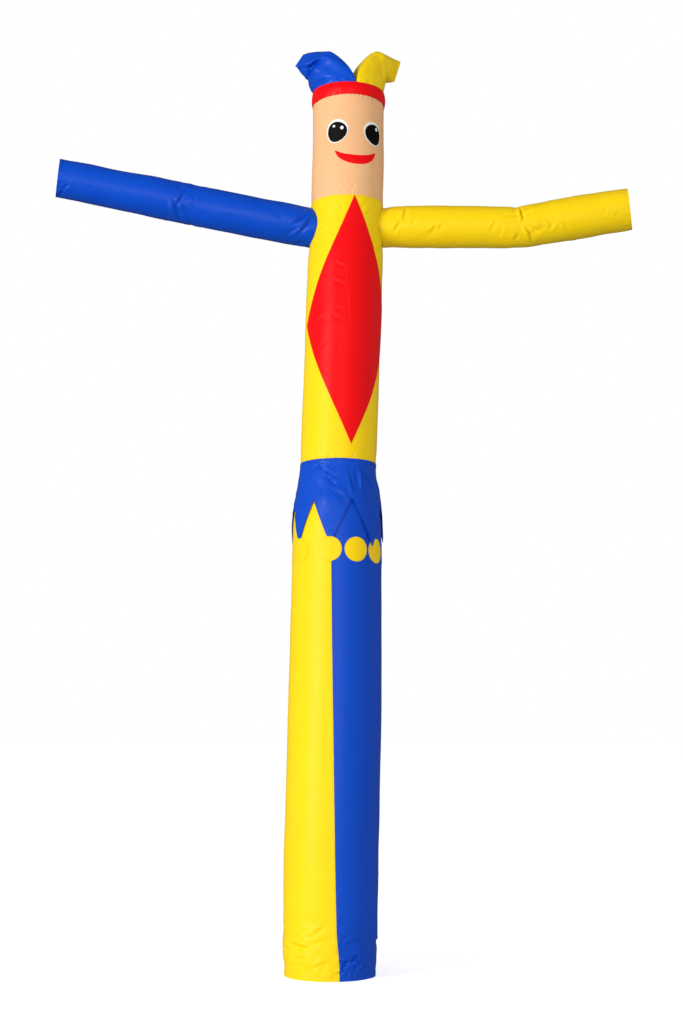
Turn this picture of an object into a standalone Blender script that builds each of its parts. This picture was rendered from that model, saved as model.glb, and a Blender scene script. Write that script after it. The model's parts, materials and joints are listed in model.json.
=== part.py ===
"""An inflatable tube figure, a jester of sewn nylon, standing on its hem as it does when filled.

The origin is the middle of the blower mouth, on the ground. The face looks along -Y, the arms
leave along -X and +X, and +Z is up. Angles round a tube are in degrees from the front, and grow
towards +X. Everything is in metres.
"""

import math
from typing import NamedTuple

import bmesh
import bpy
from mathutils import Vector

# Cloth and seams
CLOTH = 0.0015
HEM = 0.0030
PATCH = 0.0010
GAP = 0.0003

# Columns of cloth round each piece
TUBE_COLUMNS = 28
TOOTH_COLUMNS = (0.0, 0.1, 0.25, 0.4, 0.5, 0.6, 0.75, 0.9)
ARM_COLUMNS = 16
HORN_COLUMNS = 18

# How far a patch's cutter reaches in from a tube's face, and out from it
CUTTER_DEPTH = 0.03
CUTTER_REACH = 0.06

# Edges that turn by more than this, in degrees, stay crisp
SHARP_EDGE = 50.0

# The tubes' columns all start at the trousers' front seam, so that lapped seams nest
WAIST_SEAM_ANGLE = -19.3

WAIST = 1.6256
NECK = 2.5080
HEAD_BOTTOM = 2.4990
HEAD_TOP = 2.8840


class Level(NamedTuple):
    """One level of an upright tube: its height, its middle's shift along +X and its outer radius."""

    height: float
    shift: float
    radius: float


TROUSERS = (
    Level(0.000, 0.0000, 0.1435),
    Level(0.020, 0.0000, 0.1435),
    Level(0.060, 0.0000, 0.1475),
    Level(0.120, 0.0002, 0.1490),
    Level(0.200, 0.0015, 0.1487),
    Level(0.340, 0.0032, 0.1503),
    Level(0.540, 0.0082, 0.1500),
    Level(0.790, 0.0140, 0.1507),
    Level(1.000, 0.0175, 0.1485),
    Level(1.230, 0.0207, 0.1462),
    Level(1.340, 0.0220, 0.1450),
    Level(1.420, 0.0227, 0.1435),
    Level(1.460, 0.0230, 0.1402),
    Level(1.490, 0.0233, 0.1355),
    Level(1.520, 0.0236, 0.1300),
    Level(1.560, 0.0242, 0.1232),
    Level(1.600, 0.0251, 0.1188),
    Level(1.620, 0.0257, 0.1186),
    Level(1.629, 0.0259, 0.1217),
    Level(1.640, 0.0262, 0.1217),
)

TORSO = (
    Level(WAIST, 0.0259, 0.1235),
    Level(1.640, 0.0262, 0.1235),
    Level(1.665, 0.0272, 0.1246),
    Level(1.720, 0.0290, 0.1250),
    Level(1.840, 0.0340, 0.1253),
    Level(2.000, 0.0392, 0.1247),
    Level(2.140, 0.0442, 0.1262),
    Level(2.300, 0.0498, 0.1252),
    Level(2.370, 0.0530, 0.1225),
    Level(2.420, 0.0545, 0.1209),
    Level(2.490, 0.0556, 0.1212),
    Level(NECK, 0.0560, 0.1213),
)

HEAD = (
    Level(HEAD_BOTTOM, 0.0558, 0.1192),
    Level(2.509, 0.0560, 0.1192),
    Level(2.522, 0.0566, 0.1204),
    Level(2.560, 0.0573, 0.1212),
    Level(2.620, 0.0590, 0.1213),
    Level(2.700, 0.0603, 0.1204),
    Level(2.836, 0.0608, 0.1203),
    Level(2.860, 0.0609, 0.1199),
    Level(HEAD_TOP, 0.0610, 0.1195),
)


class BandRow(NamedTuple):
    """One row of the headband: its share of the band's height, its middle's shift and its radius."""

    share: float
    shift: float
    radius: float


HEADBAND = (
    BandRow(0.00, 0.0609, 0.1219),
    BandRow(0.25, 0.0609, 0.1256),
    BandRow(0.50, 0.0610, 0.1270),
    BandRow(0.75, 0.0610, 0.1252),
    BandRow(1.00, 0.0610, 0.1214),
)
BAND_BOTTOM = 2.8555
BAND_BOTTOM_DIP = -0.0025
BAND_TOP = 2.9015
BAND_TOP_DIP = 0.0035

# Rows of cloth up each tube
TROUSER_ROWS = (
    0.000, 0.020, 0.021, 0.042, 0.066, 0.095, 0.130, 0.180, 0.260, 0.400, 0.560, 0.740, 0.920,
    1.080, 1.200, 1.290, 1.345, 1.395, 1.435, 1.465, 1.495, 1.530, 1.570, 1.600, 1.620, 1.629, 1.640,
)
TROUSER_HEM = (0, 1)
TORSO_ROWS = (
    WAIST, 1.640, 1.665, 1.720, 1.790, 1.860, 1.930, 2.000, 2.070, 2.140, 2.210, 2.280, 2.330,
    2.380, 2.430, 2.470, 2.492, NECK,
)
HEAD_ROWS = (HEAD_BOTTOM, 2.509, 2.522, 2.550, 2.600, 2.660, 2.720, 2.780, 2.836, 2.860, HEAD_TOP)


class SeamTurn(NamedTuple):
    """Where the trousers' front seam lies at a height, as the tube turns a little on its way up."""

    height: float
    angle: float


FRONT_SEAM = (
    SeamTurn(0.000, -0.5),
    SeamTurn(0.020, -0.5),
    SeamTurn(0.155, -4.5),
    SeamTurn(0.400, -8.0),
    SeamTurn(0.700, -12.6),
    SeamTurn(1.170, -18.1),
    SeamTurn(1.330, WAIST_SEAM_ANGLE),
    SeamTurn(1.640, WAIST_SEAM_ANGLE),
)


class Crumple(NamedTuple):
    """A soft trough in a tube: its place, its lean from level, its length, width and depth."""

    angle: float
    height: float
    lean: float
    length: float
    width: float
    depth: float


TROUSER_CRUMPLES = (
    Crumple(-52, 0.094, -14, 0.150, 0.022, 0.0032),
    Crumple(-22, 0.120, 16, 0.120, 0.024, 0.0030),
    Crumple(-30, 0.175, -10, 0.110, 0.028, 0.0022),
    Crumple(18, 0.105, 28, 0.120, 0.030, 0.0026),
    Crumple(48, 0.075, -35, 0.100, 0.026, 0.0032),
    Crumple(86, 0.110, 20, 0.130, 0.030, 0.0030),
    Crumple(132, 0.085, -18, 0.130, 0.028, 0.0030),
    Crumple(178, 0.120, 12, 0.150, 0.030, 0.0028),
    Crumple(226, 0.090, 24, 0.120, 0.028, 0.0032),
    Crumple(262, 0.140, -20, 0.120, 0.030, 0.0026),
)

TORSO_CRUMPLES = (
    Crumple(-62, 2.455, 38, 0.100, 0.026, 0.0022),
    Crumple(-58, 2.345, -34, 0.110, 0.028, 0.0024),
    Crumple(60, 2.350, 32, 0.110, 0.028, 0.0022),
    Crumple(128, 2.360, -30, 0.110, 0.030, 0.0024),
    Crumple(232, 2.350, 30, 0.110, 0.030, 0.0024),
    Crumple(8, 2.085, 0, 0.280, 0.020, 0.0012),
    Crumple(175, 2.060, 3, 0.260, 0.024, 0.0014),
)

HEAD_CRUMPLES = (
    Crumple(-70, 2.545, 55, 0.080, 0.022, 0.0014),
    Crumple(35, 2.550, -48, 0.080, 0.022, 0.0012),
    Crumple(150, 2.560, 40, 0.090, 0.024, 0.0016),
    Crumple(215, 2.545, -50, 0.080, 0.024, 0.0014),
)


class Tube(NamedTuple):
    """An upright tube of cloth: its levels, the soft troughs in its face and its rows of cloth."""

    levels: tuple
    crumples: tuple
    rows: tuple


TROUSER_TUBE = Tube(TROUSERS, TROUSER_CRUMPLES, TROUSER_ROWS)
TORSO_TUBE = Tube(TORSO, TORSO_CRUMPLES, TORSO_ROWS)
HEAD_TUBE = Tube(HEAD, HEAD_CRUMPLES, HEAD_ROWS)


class Tooth(NamedTuple):
    """A pointed tooth of the skirt: the valley on its left, and its tip."""

    valley_angle: float
    valley_height: float
    tip_angle: float
    tip_height: float


TEETH = (
    Tooth(-88.0, 1.484, -67.5, 1.350),
    Tooth(-44.4, 1.489, -21.5, 1.346),
    Tooth(6.5, 1.494, 37.0, 1.342),
    Tooth(63.0, 1.488, 90.0, 1.368),
    Tooth(115.0, 1.490, 140.0, 1.352),
    Tooth(166.0, 1.486, 192.0, 1.348),
    Tooth(218.0, 1.490, 245.0, 1.358),
)

SKIRT_TOP = WAIST - GAP
SKIRT_PROFILE = (
    Level(1.330, 0.0220, 0.1502),
    Level(1.360, 0.0222, 0.1500),
    Level(1.400, 0.0226, 0.1488),
    Level(1.440, 0.0229, 0.1470),
    Level(1.470, 0.0231, 0.1448),
    Level(1.493, 0.0233, 0.1423),
    Level(1.519, 0.0236, 0.1378),
    Level(1.546, 0.0240, 0.1330),
    Level(1.572, 0.0244, 0.1284),
    Level(1.600, 0.0251, 0.1249),
    Level(SKIRT_TOP, 0.0259, 0.1235),
)
SKIRT_ROWS = (0.0, 0.10, 0.24, 0.40, 0.56, 0.72, 0.87, 1.0)
LOWEST_TIP = min(tooth.tip_height for tooth in TEETH)

# The skirt's folds open out with this power of the fall from the waist
SKIRT_FLARE = 1.5


class Fold(NamedTuple):
    """A soft upright fold of the skirt: where it lies, its width and how far it stands out below."""

    angle: float
    width: float
    rise: float


SKIRT_FOLDS = (
    Fold(-100, 15, 0.0050),
    Fold(-14, 10, 0.0016),
    Fold(22, 9, 0.0030),
    Fold(52, 8, 0.0024),
    Fold(90, 15, 0.0075),
    Fold(138, 13, 0.0050),
    Fold(186, 12, 0.0040),
    Fold(232, 14, 0.0055),
)


class Reach(NamedTuple):
    """One section of an arm: its distance from the torso's middle, its height and its radius."""

    distance: float
    height: float
    radius: float


ARM_SWEEP = 9.0
ARM_ROOT_SHIFT = 0.0545
ARM_SLOPE_STEP = 0.004
ARMHOLE_SECTIONS = 4

ARM_BLUE = (
    Reach(0.060, 2.4200, 0.0655),
    Reach(0.125, 2.4305, 0.0655),
    Reach(0.165, 2.4375, 0.0660),
    Reach(0.240, 2.4510, 0.0672),
    Reach(0.408, 2.4810, 0.0672),
    Reach(0.485, 2.4950, 0.0670),
    Reach(0.515, 2.5005, 0.0662),
    Reach(0.545, 2.5065, 0.0671),
    Reach(0.625, 2.5220, 0.0670),
    Reach(0.725, 2.5415, 0.0656),
    Reach(0.825, 2.5595, 0.0640),
    Reach(0.900, 2.5740, 0.0638),
    Reach(0.956, 2.5840, 0.0622),
    Reach(0.966, 2.5858, 0.0620),
)
ARM_YELLOW = (
    Reach(0.060, 2.4340, 0.0655),
    Reach(0.125, 2.4345, 0.0655),
    Reach(0.165, 2.4380, 0.0677),
    Reach(0.249, 2.4410, 0.0706),
    Reach(0.352, 2.4428, 0.0707),
    Reach(0.452, 2.4442, 0.0700),
    Reach(0.545, 2.4450, 0.0693),
    Reach(0.580, 2.4455, 0.0671),
    Reach(0.600, 2.4490, 0.0697),
    Reach(0.657, 2.4600, 0.0703),
    Reach(0.726, 2.4735, 0.0717),
    Reach(0.795, 2.4870, 0.0731),
    Reach(0.864, 2.5000, 0.0717),
    Reach(0.956, 2.5160, 0.0693),
    Reach(0.966, 2.5178, 0.0691),
)
ARM_PINCHES_BLUE = (
    Crumple(-30, 0.500, 62, 0.100, 0.020, 0.0030),
    Crumple(20, 0.535, 75, 0.100, 0.018, 0.0022),
    Crumple(150, 0.510, 80, 0.120, 0.020, 0.0022),
    Crumple(-10, 0.215, 48, 0.110, 0.024, 0.0032),
    Crumple(30, 0.180, -50, 0.080, 0.022, 0.0026),
    Crumple(185, 0.200, 50, 0.110, 0.024, 0.0028),
)
ARM_PINCHES_YELLOW = (
    Crumple(20, 0.215, 52, 0.110, 0.024, 0.0030),
    Crumple(-30, 0.290, 60, 0.090, 0.022, 0.0018),
    Crumple(20, 0.583, 88, 0.110, 0.014, 0.0040),
    Crumple(-34, 0.628, 70, 0.080, 0.018, 0.0028),
    Crumple(150, 0.590, 86, 0.120, 0.016, 0.0034),
    Crumple(190, 0.215, 52, 0.110, 0.024, 0.0028),
)


class HornSection(NamedTuple):
    """A slanted section of a cap horn: its outer and inner edge points, its half depth, and how
    straight its inner side is, from 0 for an oval to 1 for a D."""

    outer_x: float
    outer_z: float
    inner_x: float
    inner_z: float
    half_depth: float
    straightness: float


HORN_ROOT = HEAD_TOP + GAP
HORN_BLUE = (
    HornSection(-0.1186, HORN_ROOT, -0.0005, HORN_ROOT, 0.1186, 1.00),
    HornSection(-0.1190, 2.9050, -0.0005, 2.9120, 0.1180, 0.95),
    HornSection(-0.1300, 2.9250, -0.0010, 2.9450, 0.1100, 0.75),
    HornSection(-0.1375, 2.9400, -0.0160, 2.9900, 0.0930, 0.45),
    HornSection(-0.1392, 2.9475, -0.0660, 3.0440, 0.0700, 0.15),
    HornSection(-0.1520, 2.9570, -0.1050, 3.0440, 0.0500, 0.05),
    HornSection(-0.1690, 2.9730, -0.1340, 3.0400, 0.0270, 0.00),
    HornSection(-0.1795, 2.9840, -0.1510, 3.0320, 0.0050, 0.00),
    HornSection(-0.1840, 2.9880, -0.1560, 3.0310, 0.0016, 0.00),
)
HORN_YELLOW = (
    HornSection(0.1186, HORN_ROOT, 0.0005, HORN_ROOT, 0.1186, 1.00),
    HornSection(0.1190, 2.9050, 0.0005, 2.9120, 0.1180, 0.95),
    HornSection(0.1250, 2.9300, 0.0060, 2.9520, 0.1090, 0.75),
    HornSection(0.1275, 2.9480, 0.0340, 3.0080, 0.0900, 0.45),
    HornSection(0.1290, 2.9600, 0.0980, 3.0580, 0.0640, 0.15),
    HornSection(0.1440, 2.9610, 0.1270, 3.0500, 0.0460, 0.05),
    HornSection(0.1540, 2.9620, 0.1600, 3.0380, 0.0250, 0.00),
    HornSection(0.1575, 2.9635, 0.1765, 3.0340, 0.0050, 0.00),
    HornSection(0.1615, 2.9640, 0.1825, 3.0320, 0.0016, 0.00),
)
HORN_MIDDLE = 0.0610

# Sections of a horn's end where its two faces are sewn flat together
HORN_FLAT_SECTIONS = 2

# The diamond
DIAMOND_TOP = 2.5070
DIAMOND_BOTTOM = 1.6730
DIAMOND_LEFT = -82.6
DIAMOND_RIGHT = 89.0
DIAMOND_TOP_ANGLE = -0.7
DIAMOND_BOTTOM_ANGLE = 6.2
DIAMOND_SIDE_HEIGHT = 2.080
DIAMOND_STEPS = 12

# The discs round the trousers
DISC_RADIUS = 0.0420
DISC_HEIGHT = 1.3300
DISC_ANGLES = (-66.5, -22.0, 12.8, 46.9, 87.0, 128.0, 169.0, 210.0, 251.0)
DISCS_OVER_TEETH = 2
DISC_SIDES = 20


class Oval(NamedTuple):
    """An egg-shaped patch on the head: middle, half width and height, tilt, and how pointed."""

    angle: float
    height: float
    half_width: float
    half_height: float
    tilt: float
    narrowing: float


EYE_WHITE = Oval(31.0, 2.7275, 0.0375, 0.0415, 16.0, 0.12)
PUPIL = Oval(31.0, 2.7245, 0.0325, 0.0352, 20.0, 0.14)
GLINTS = {
    "glint_left": Oval(-22.6, 2.7375, 0.0056, 0.0060, 0.0, 0.0),
    "glint_left_low": Oval(-35.5, 2.7450, 0.0046, 0.0040, 0.0, 0.0),
    "glint_right": Oval(36.4, 2.7455, 0.0046, 0.0062, 0.0, 0.0),
}
OVAL_SIDES = 20
GLINT_SIDES = 10


class SmilePoint(NamedTuple):
    """A station across the smile: its angle, and the heights of its lower and upper edges."""

    angle: float
    lower: float
    upper: float


SMILE = (
    SmilePoint(-33.6, 2.6570, 2.6605),
    SmilePoint(-29.0, 2.6400, 2.6570),
    SmilePoint(-24.0, 2.6305, 2.6515),
    SmilePoint(-16.6, 2.6215, 2.6475),
    SmilePoint(-8.0, 2.6155, 2.6450),
    SmilePoint(0.5, 2.6135, 2.6440),
    SmilePoint(9.0, 2.6145, 2.6450),
    SmilePoint(17.6, 2.6195, 2.6485),
    SmilePoint(25.0, 2.6280, 2.6535),
    SmilePoint(30.5, 2.6390, 2.6590),
    SmilePoint(34.6, 2.6565, 2.6625),
)

COLOURS = {
    "yellow": (0.90, 0.68, 0.02),
    "blue": (0.01, 0.08, 0.55),
    "red": (0.72, 0.01, 0.02),
    "skin": (0.82, 0.54, 0.32),
    "white": (0.86, 0.85, 0.83),
    "black": (0.010, 0.009, 0.008),
}
NYLON_ROUGHNESS = 0.42


def clear_scene():
    """Empties the file of its objects."""
    for thing in list(bpy.data.objects):
        bpy.data.objects.remove(thing, do_unlink=True)


def new_collection(name):
    """A collection under the scene's own."""
    group = bpy.data.collections.new(name)
    bpy.context.scene.collection.children.link(group)
    return group


def nylon(colour_name):
    """The finish of one colour of cloth, made once."""
    name = f"{colour_name}_nylon"
    if name in bpy.data.materials:
        return bpy.data.materials[name]
    finish = bpy.data.materials.new(name)
    finish.use_nodes = True
    shader = finish.node_tree.nodes["Principled BSDF"]
    shader.inputs["Base Color"].default_value = (*COLOURS[colour_name], 1.0)
    shader.inputs["Roughness"].default_value = NYLON_ROUGHNESS
    shader.inputs["Metallic"].default_value = 0.0
    return finish


def read_row(rows, column, at):
    """A column of a table at a place between its rows, along a smooth curve through them."""
    places = [row[0] for row in rows]
    values = [getattr(row, column) for row in rows]
    if at <= places[0]:
        return values[0]
    if at >= places[-1]:
        return values[-1]
    i = max(k for k in range(len(rows) - 1) if places[k] <= at)
    span = places[i + 1] - places[i]
    share = (at - places[i]) / span
    slopes = [(values[k + 1] - values[k]) / (places[k + 1] - places[k]) for k in range(len(rows) - 1)]

    def slope_at(k):
        """Slope at a row, level where the values turn round."""
        if k == 0 or k == len(rows) - 1:
            return slopes[min(k, len(slopes) - 1)]
        before, after = slopes[k - 1], slopes[k]
        return 0.0 if before * after <= 0 else 2 * before * after / (before + after)

    start, end = slope_at(i) * span, slope_at(i + 1) * span
    return (
        values[i] * (1 + 2 * share) * (1 - share) ** 2
        + start * share * (1 - share) ** 2
        + values[i + 1] * share**2 * (3 - 2 * share)
        - end * share**2 * (1 - share)
    )


def turn_between(angle, other):
    """The signed turn from one angle to another, in degrees, from -180 to 180."""
    return (other - angle + 180.0) % 360.0 - 180.0


def crumpling(crumples, angle, height, radius):
    """How far the soft troughs draw a tube's surface in at a place."""
    depth = 0.0
    for fold in crumples:
        across = math.radians(turn_between(fold.angle, angle)) * radius
        up = height - fold.height
        lean = math.radians(fold.lean)
        along = across * math.cos(lean) + up * math.sin(lean)
        aside = up * math.cos(lean) - across * math.sin(lean)
        depth += fold.depth * math.exp(-((2 * along / fold.length) ** 2) - (2 * aside / fold.width) ** 2)
    return depth


def on_tube(levels, crumples, angle, height, out=0.0):
    """A point on an upright tube's outer face, or that far out from it."""
    radius = read_row(levels, "radius", height)
    radius += out - crumpling(crumples, angle, height, radius)
    turn = math.radians(angle)
    shift = read_row(levels, "shift", height)
    return Vector((shift + radius * math.sin(turn), -radius * math.cos(turn), height))


def put_points(bm, index_of, place, hem):
    """Moves every point of a flat or round net to its place, and marks the rows of the hem."""
    hem_share = bm.verts.layers.deform.verify()
    for vertex in bm.verts:
        column, row = index_of(vertex.co)
        vertex.co = place(column, row)
        vertex[hem_share][0] = float(row in hem)


def open_tube(columns, rows, place, hem=()):
    """An open round of cloth whose every point is put where place(column, row) says."""
    bm = bmesh.new()
    bmesh.ops.create_cone(bm, cap_ends=False, segments=columns, radius1=1.0, radius2=1.0, depth=1.0)
    uprights = [e for e in bm.edges if abs(e.verts[0].co.z - e.verts[1].co.z) > 0.5]
    bmesh.ops.subdivide_edges(bm, edges=uprights, cuts=rows - 2, use_grid_fill=True)

    def index_of(co):
        column = round(math.atan2(co.y, co.x) / math.tau * columns) % columns
        return column, round((co.z + 0.5) * (rows - 1))

    put_points(bm, index_of, place, hem)
    return bm


def flat_panel(columns, rows, place, hem=()):
    """A panel of cloth cut as a rectangle, whose points are put where place(column, row) says."""
    bm = bmesh.new()
    bmesh.ops.create_grid(bm, x_segments=columns, y_segments=rows, size=1.0)

    def index_of(co):
        return round((co.x + 1) / 2 * columns), round((co.y + 1) / 2 * rows)

    put_points(bm, index_of, place, hem)
    return bm


def add_piece(name, bm, group, colour_name=None):
    """Makes an object of a mesh, smooth shaded but for its cut edges."""
    mesh = bpy.data.meshes.new(name)
    bm.to_mesh(mesh)
    bm.free()
    piece = bpy.data.objects.new(name, mesh)
    group.objects.link(piece)
    if colour_name:
        mesh.materials.append(nylon(colour_name))
        mesh.shade_smooth()
        mesh.set_sharp_from_angle(angle=math.radians(SHARP_EDGE))
    return piece


def give_thickness(piece, thickness, inwards=True):
    """Gives a face of cloth its wall."""
    wall = piece.modifiers.new("cloth", "SOLIDIFY")
    wall.thickness = thickness
    wall.offset = -1.0 if inwards else 1.0
    wall.use_even_offset = True
    return wall


def give_hemmed_thickness(piece):
    """Gives a face of cloth its wall, doubled where its hem is turned up."""
    wall = give_thickness(piece, HEM)
    wall.vertex_group = piece.vertex_groups.new(name="hem").name
    wall.thickness_vertex_group = CLOTH / HEM


def cut(piece, cutter, operation="DIFFERENCE"):
    """Cuts a piece with a hidden cutter."""
    step = piece.modifiers.new(cutter.name, "BOOLEAN")
    step.operation = operation
    step.object = cutter
    step.solver = "EXACT"


def hide_cutter(cutter):
    """Marks a cutter as a guide that isn't part of the figure."""
    cutter.hide_render = True
    cutter.display_type = "WIRE"
    return cutter


def column_angle(column, height):
    """Angle of a tube's column at a height, counted from the front seam."""
    return read_row(FRONT_SEAM, "angle", height) + 360.0 * column / TUBE_COLUMNS


def tube_face(tube, out=0.0):
    """The rule that puts the points of a round of cloth on a tube's face, or that far out from it."""

    def place(column, row):
        height = tube.rows[row]
        return on_tube(tube.levels, tube.crumples, column_angle(column, height), height, out)

    return place


def make_trousers(group):
    """The two halves of the lower tube, seamed at the front and the back, with a doubled hem."""
    half = TUBE_COLUMNS // 2
    for name, colour_name, first in (("trouser_blue", "blue", 0), ("trouser_yellow", "yellow", half)):

        def place(column, row, first=first):
            height = TROUSER_ROWS[row]
            angle = column_angle(first + column, height)
            wall = HEM if row in TROUSER_HEM else CLOTH
            clear = GAP / 2 + wall * math.sin(math.pi / TUBE_COLUMNS)
            seam_gap = math.degrees(clear / read_row(TROUSERS, "radius", height))
            if column == 0:
                angle += seam_gap
            if column == half:
                angle -= seam_gap
            return on_tube(TROUSERS, TROUSER_CRUMPLES, angle, height)

        panel = flat_panel(half, len(TROUSER_ROWS) - 1, place, hem=TROUSER_HEM)
        give_hemmed_thickness(add_piece(name, panel, group, colour_name))


def make_torso(group, armhole_cutters):
    """The yellow tube from waist to neck, open at both ends and at its armholes."""
    bm = open_tube(TUBE_COLUMNS, len(TORSO_ROWS), tube_face(TORSO_TUBE))
    piece = add_piece("torso", bm, group, "yellow")
    give_thickness(piece, CLOTH)
    for cutter in armhole_cutters:
        cut(piece, cutter)


def make_head(group):
    """The face tube, lapped into the torso below and into the band above."""
    bm = open_tube(TUBE_COLUMNS, len(HEAD_ROWS), tube_face(HEAD_TUBE))
    give_thickness(add_piece("head", bm, group, "skin"), CLOTH)


def make_headband(group):
    """The red band, puffed out between its two seams, its top drawn up at the sides by the cap."""

    def place(column, row):
        angle = column_angle(column, HEAD_TOP)
        rise = math.sin(math.radians(angle)) ** 2
        bottom = BAND_BOTTOM + BAND_BOTTOM_DIP * rise
        top = BAND_TOP - BAND_TOP_DIP * (1 - rise)
        share = HEADBAND[row].share
        point = on_tube(HEADBAND, (), angle, share)
        point.z = bottom + (top - bottom) * share
        return point

    piece = add_piece("headband", open_tube(TUBE_COLUMNS, len(HEADBAND), place), group, "red")
    give_thickness(piece, CLOTH)


def skirt_columns():
    """Angle and lower edge of each column of the skirt, from tooth to tooth."""
    columns = []
    first_again = TEETH[0]._replace(valley_angle=TEETH[0].valley_angle + 360)
    for tooth, after in zip(TEETH, (*TEETH[1:], first_again)):
        for share in TOOTH_COLUMNS:
            if share <= 0.5:
                mix = share / 0.5
                angle = tooth.valley_angle + (tooth.tip_angle - tooth.valley_angle) * mix
                height = tooth.valley_height + (tooth.tip_height - tooth.valley_height) * mix
            else:
                mix = (share - 0.5) / 0.5
                angle = tooth.tip_angle + (after.valley_angle - tooth.tip_angle) * mix
                height = tooth.tip_height + (after.valley_height - tooth.tip_height) * mix
            columns.append((angle, height))
    return columns


def make_skirt(group, disc_cutters):
    """The blue skirt, hung from the waist seam clear of the trousers, its first points trimmed by discs."""
    columns = skirt_columns()

    def place(column, row):
        angle, lower_edge = columns[column]
        height = SKIRT_TOP + (lower_edge - SKIRT_TOP) * SKIRT_ROWS[row]
        fall = (SKIRT_TOP - height) / (SKIRT_TOP - LOWEST_TIP)
        swing = 0.0
        for fold in SKIRT_FOLDS:
            swing += fold.rise * math.exp(-((turn_between(fold.angle, angle) / fold.width) ** 2))
        return on_tube(SKIRT_PROFILE, (), angle, height, out=swing * fall**SKIRT_FLARE)

    bm = open_tube(len(columns), len(SKIRT_ROWS), place)
    bmesh.ops.reverse_faces(bm, faces=bm.faces)
    piece = add_piece("skirt", bm, group, "blue")
    give_thickness(piece, CLOTH)
    for cutter in disc_cutters:
        cut(piece, cutter)


def arm_axis(side):
    """Direction in which an arm leaves the body, level, and the direction across it."""
    sweep = math.radians(ARM_SWEEP)
    along = Vector((side * math.cos(sweep), -side * math.sin(sweep), 0.0))
    return along, Vector((0.0, 0.0, 1.0)).cross(along)


def on_arm(side, sections, pinches, turn, distance, inset=0.0):
    """A point of an arm's outer face at a turn round it, square to its middle line."""
    along, across = arm_axis(side)
    before = read_row(sections, "height", distance - ARM_SLOPE_STEP)
    after = read_row(sections, "height", distance + ARM_SLOPE_STEP)
    slope = math.atan2(after - before, 2 * ARM_SLOPE_STEP)
    up = Vector((0.0, 0.0, 1.0)) * math.cos(slope) - along * math.sin(slope)
    radius = read_row(sections, "radius", distance)
    front_turn = math.degrees(turn) if side < 0 else 180.0 - math.degrees(turn)
    radius -= inset + crumpling(pinches, front_turn, distance, radius)
    middle = along * distance + Vector((ARM_ROOT_SHIFT, 0.0, read_row(sections, "height", distance)))
    return middle + across * (radius * math.cos(turn)) + up * (radius * math.sin(turn))


def make_arm(name, colour_name, side, sections, pinches, group, torso_cutter):
    """An arm tube, cut to the torso's face at its root and hemmed at its open cuff."""
    rows = [row.distance for row in sections]
    hem = (len(rows) - 2, len(rows) - 1)

    def place(column, row):
        return on_arm(side, sections, pinches, math.tau * column / ARM_COLUMNS, rows[row])

    piece = add_piece(name, open_tube(ARM_COLUMNS, len(rows), place, hem=hem), group, colour_name)
    give_hemmed_thickness(piece)
    cut(piece, torso_cutter)


def make_armhole_cutter(name, side, sections, pinches, guides):
    """The space inside an arm near its root, which opens the torso's wall."""
    rows = [row.distance for row in sections[:ARMHOLE_SECTIONS]]

    def place(column, row):
        return on_arm(side, sections, pinches, math.tau * column / ARM_COLUMNS, rows[row], inset=CLOTH)

    return closed_cutter(name, open_tube(ARM_COLUMNS, len(rows), place), guides)


def closed_cutter(name, bm, guides):
    """A cutter of an open round, with both its ends filled."""
    bmesh.ops.holes_fill(bm, edges=[e for e in bm.edges if e.is_boundary])
    bmesh.ops.recalc_face_normals(bm, faces=bm.faces)
    return hide_cutter(add_piece(name, bm, guides))


def make_torso_cutter(guides):
    """A solid of the torso's outer face, a seam's gap larger, which shapes the arm roots."""
    bm = open_tube(TUBE_COLUMNS, len(TORSO_ROWS), tube_face(TORSO_TUBE, out=GAP))
    return closed_cutter("cut_torso_face", bm, guides)


def horn_loop(section):
    """The points round one section of a horn."""
    outer = Vector((section.outer_x, 0.0, section.outer_z))
    inner = Vector((section.inner_x, 0.0, section.inner_z))
    points = []
    for i in range(HORN_COLUMNS):
        turn = math.tau * i / HORN_COLUMNS
        oval = (1 + math.cos(turn)) / 2
        straight = max(0.0, math.cos(turn))
        share = oval + (straight - oval) * section.straightness
        point = inner + (outer - inner) * share
        points.append(Vector((point.x + HORN_MIDDLE, section.half_depth * math.sin(turn), point.z)))
    return points


def join_loops(bm, loops):
    """Faces between each closed loop of points and the next."""
    for lower, upper in zip(loops, loops[1:]):
        for i in range(HORN_COLUMNS):
            k = (i + 1) % HORN_COLUMNS
            bm.faces.new((lower[i], lower[k], upper[k], upper[i]))


def make_horn(name, colour_name, sections, group):
    """A horn of the cap: a loft from a D-shaped root to a flat, seamed tip, hollow below its tip."""
    bm = bmesh.new()
    outside = [[bm.verts.new(p) for p in horn_loop(s)] for s in sections]
    join_loops(bm, outside)
    bm.faces.new(outside[-1])
    bmesh.ops.recalc_face_normals(bm, faces=bm.faces)
    bm.normal_update()
    inside = []
    for loop in outside[:-HORN_FLAT_SECTIONS]:
        inside.append([bm.verts.new(v.co - v.normal * v.calc_shell_factor() * CLOTH) for v in loop])
    join_loops(bm, [outside[0], *inside])
    bm.faces.new(inside[-1])
    bmesh.ops.recalc_face_normals(bm, faces=bm.faces)
    add_piece(name, bm, group, colour_name)


def radial_cutter(name, outline, levels, guides):
    """A cutter whose sides run straight out from a tube's middle through an outline on its face."""
    bm = bmesh.new()
    loops = []
    for out in (-CUTTER_DEPTH, CUTTER_REACH):
        loops.append([bm.verts.new(on_tube(levels, (), angle, height, out)) for angle, height in outline])
    count = len(outline)
    for i in range(count):
        k = (i + 1) % count
        bm.faces.new((loops[0][i], loops[0][k], loops[1][k], loops[1][i]))
    for loop in loops:
        bmesh.ops.triangulate(bm, faces=[bm.faces.new(loop)])
    bmesh.ops.recalc_face_normals(bm, faces=bm.faces)
    return hide_cutter(add_piece(name, bm, guides))


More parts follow.
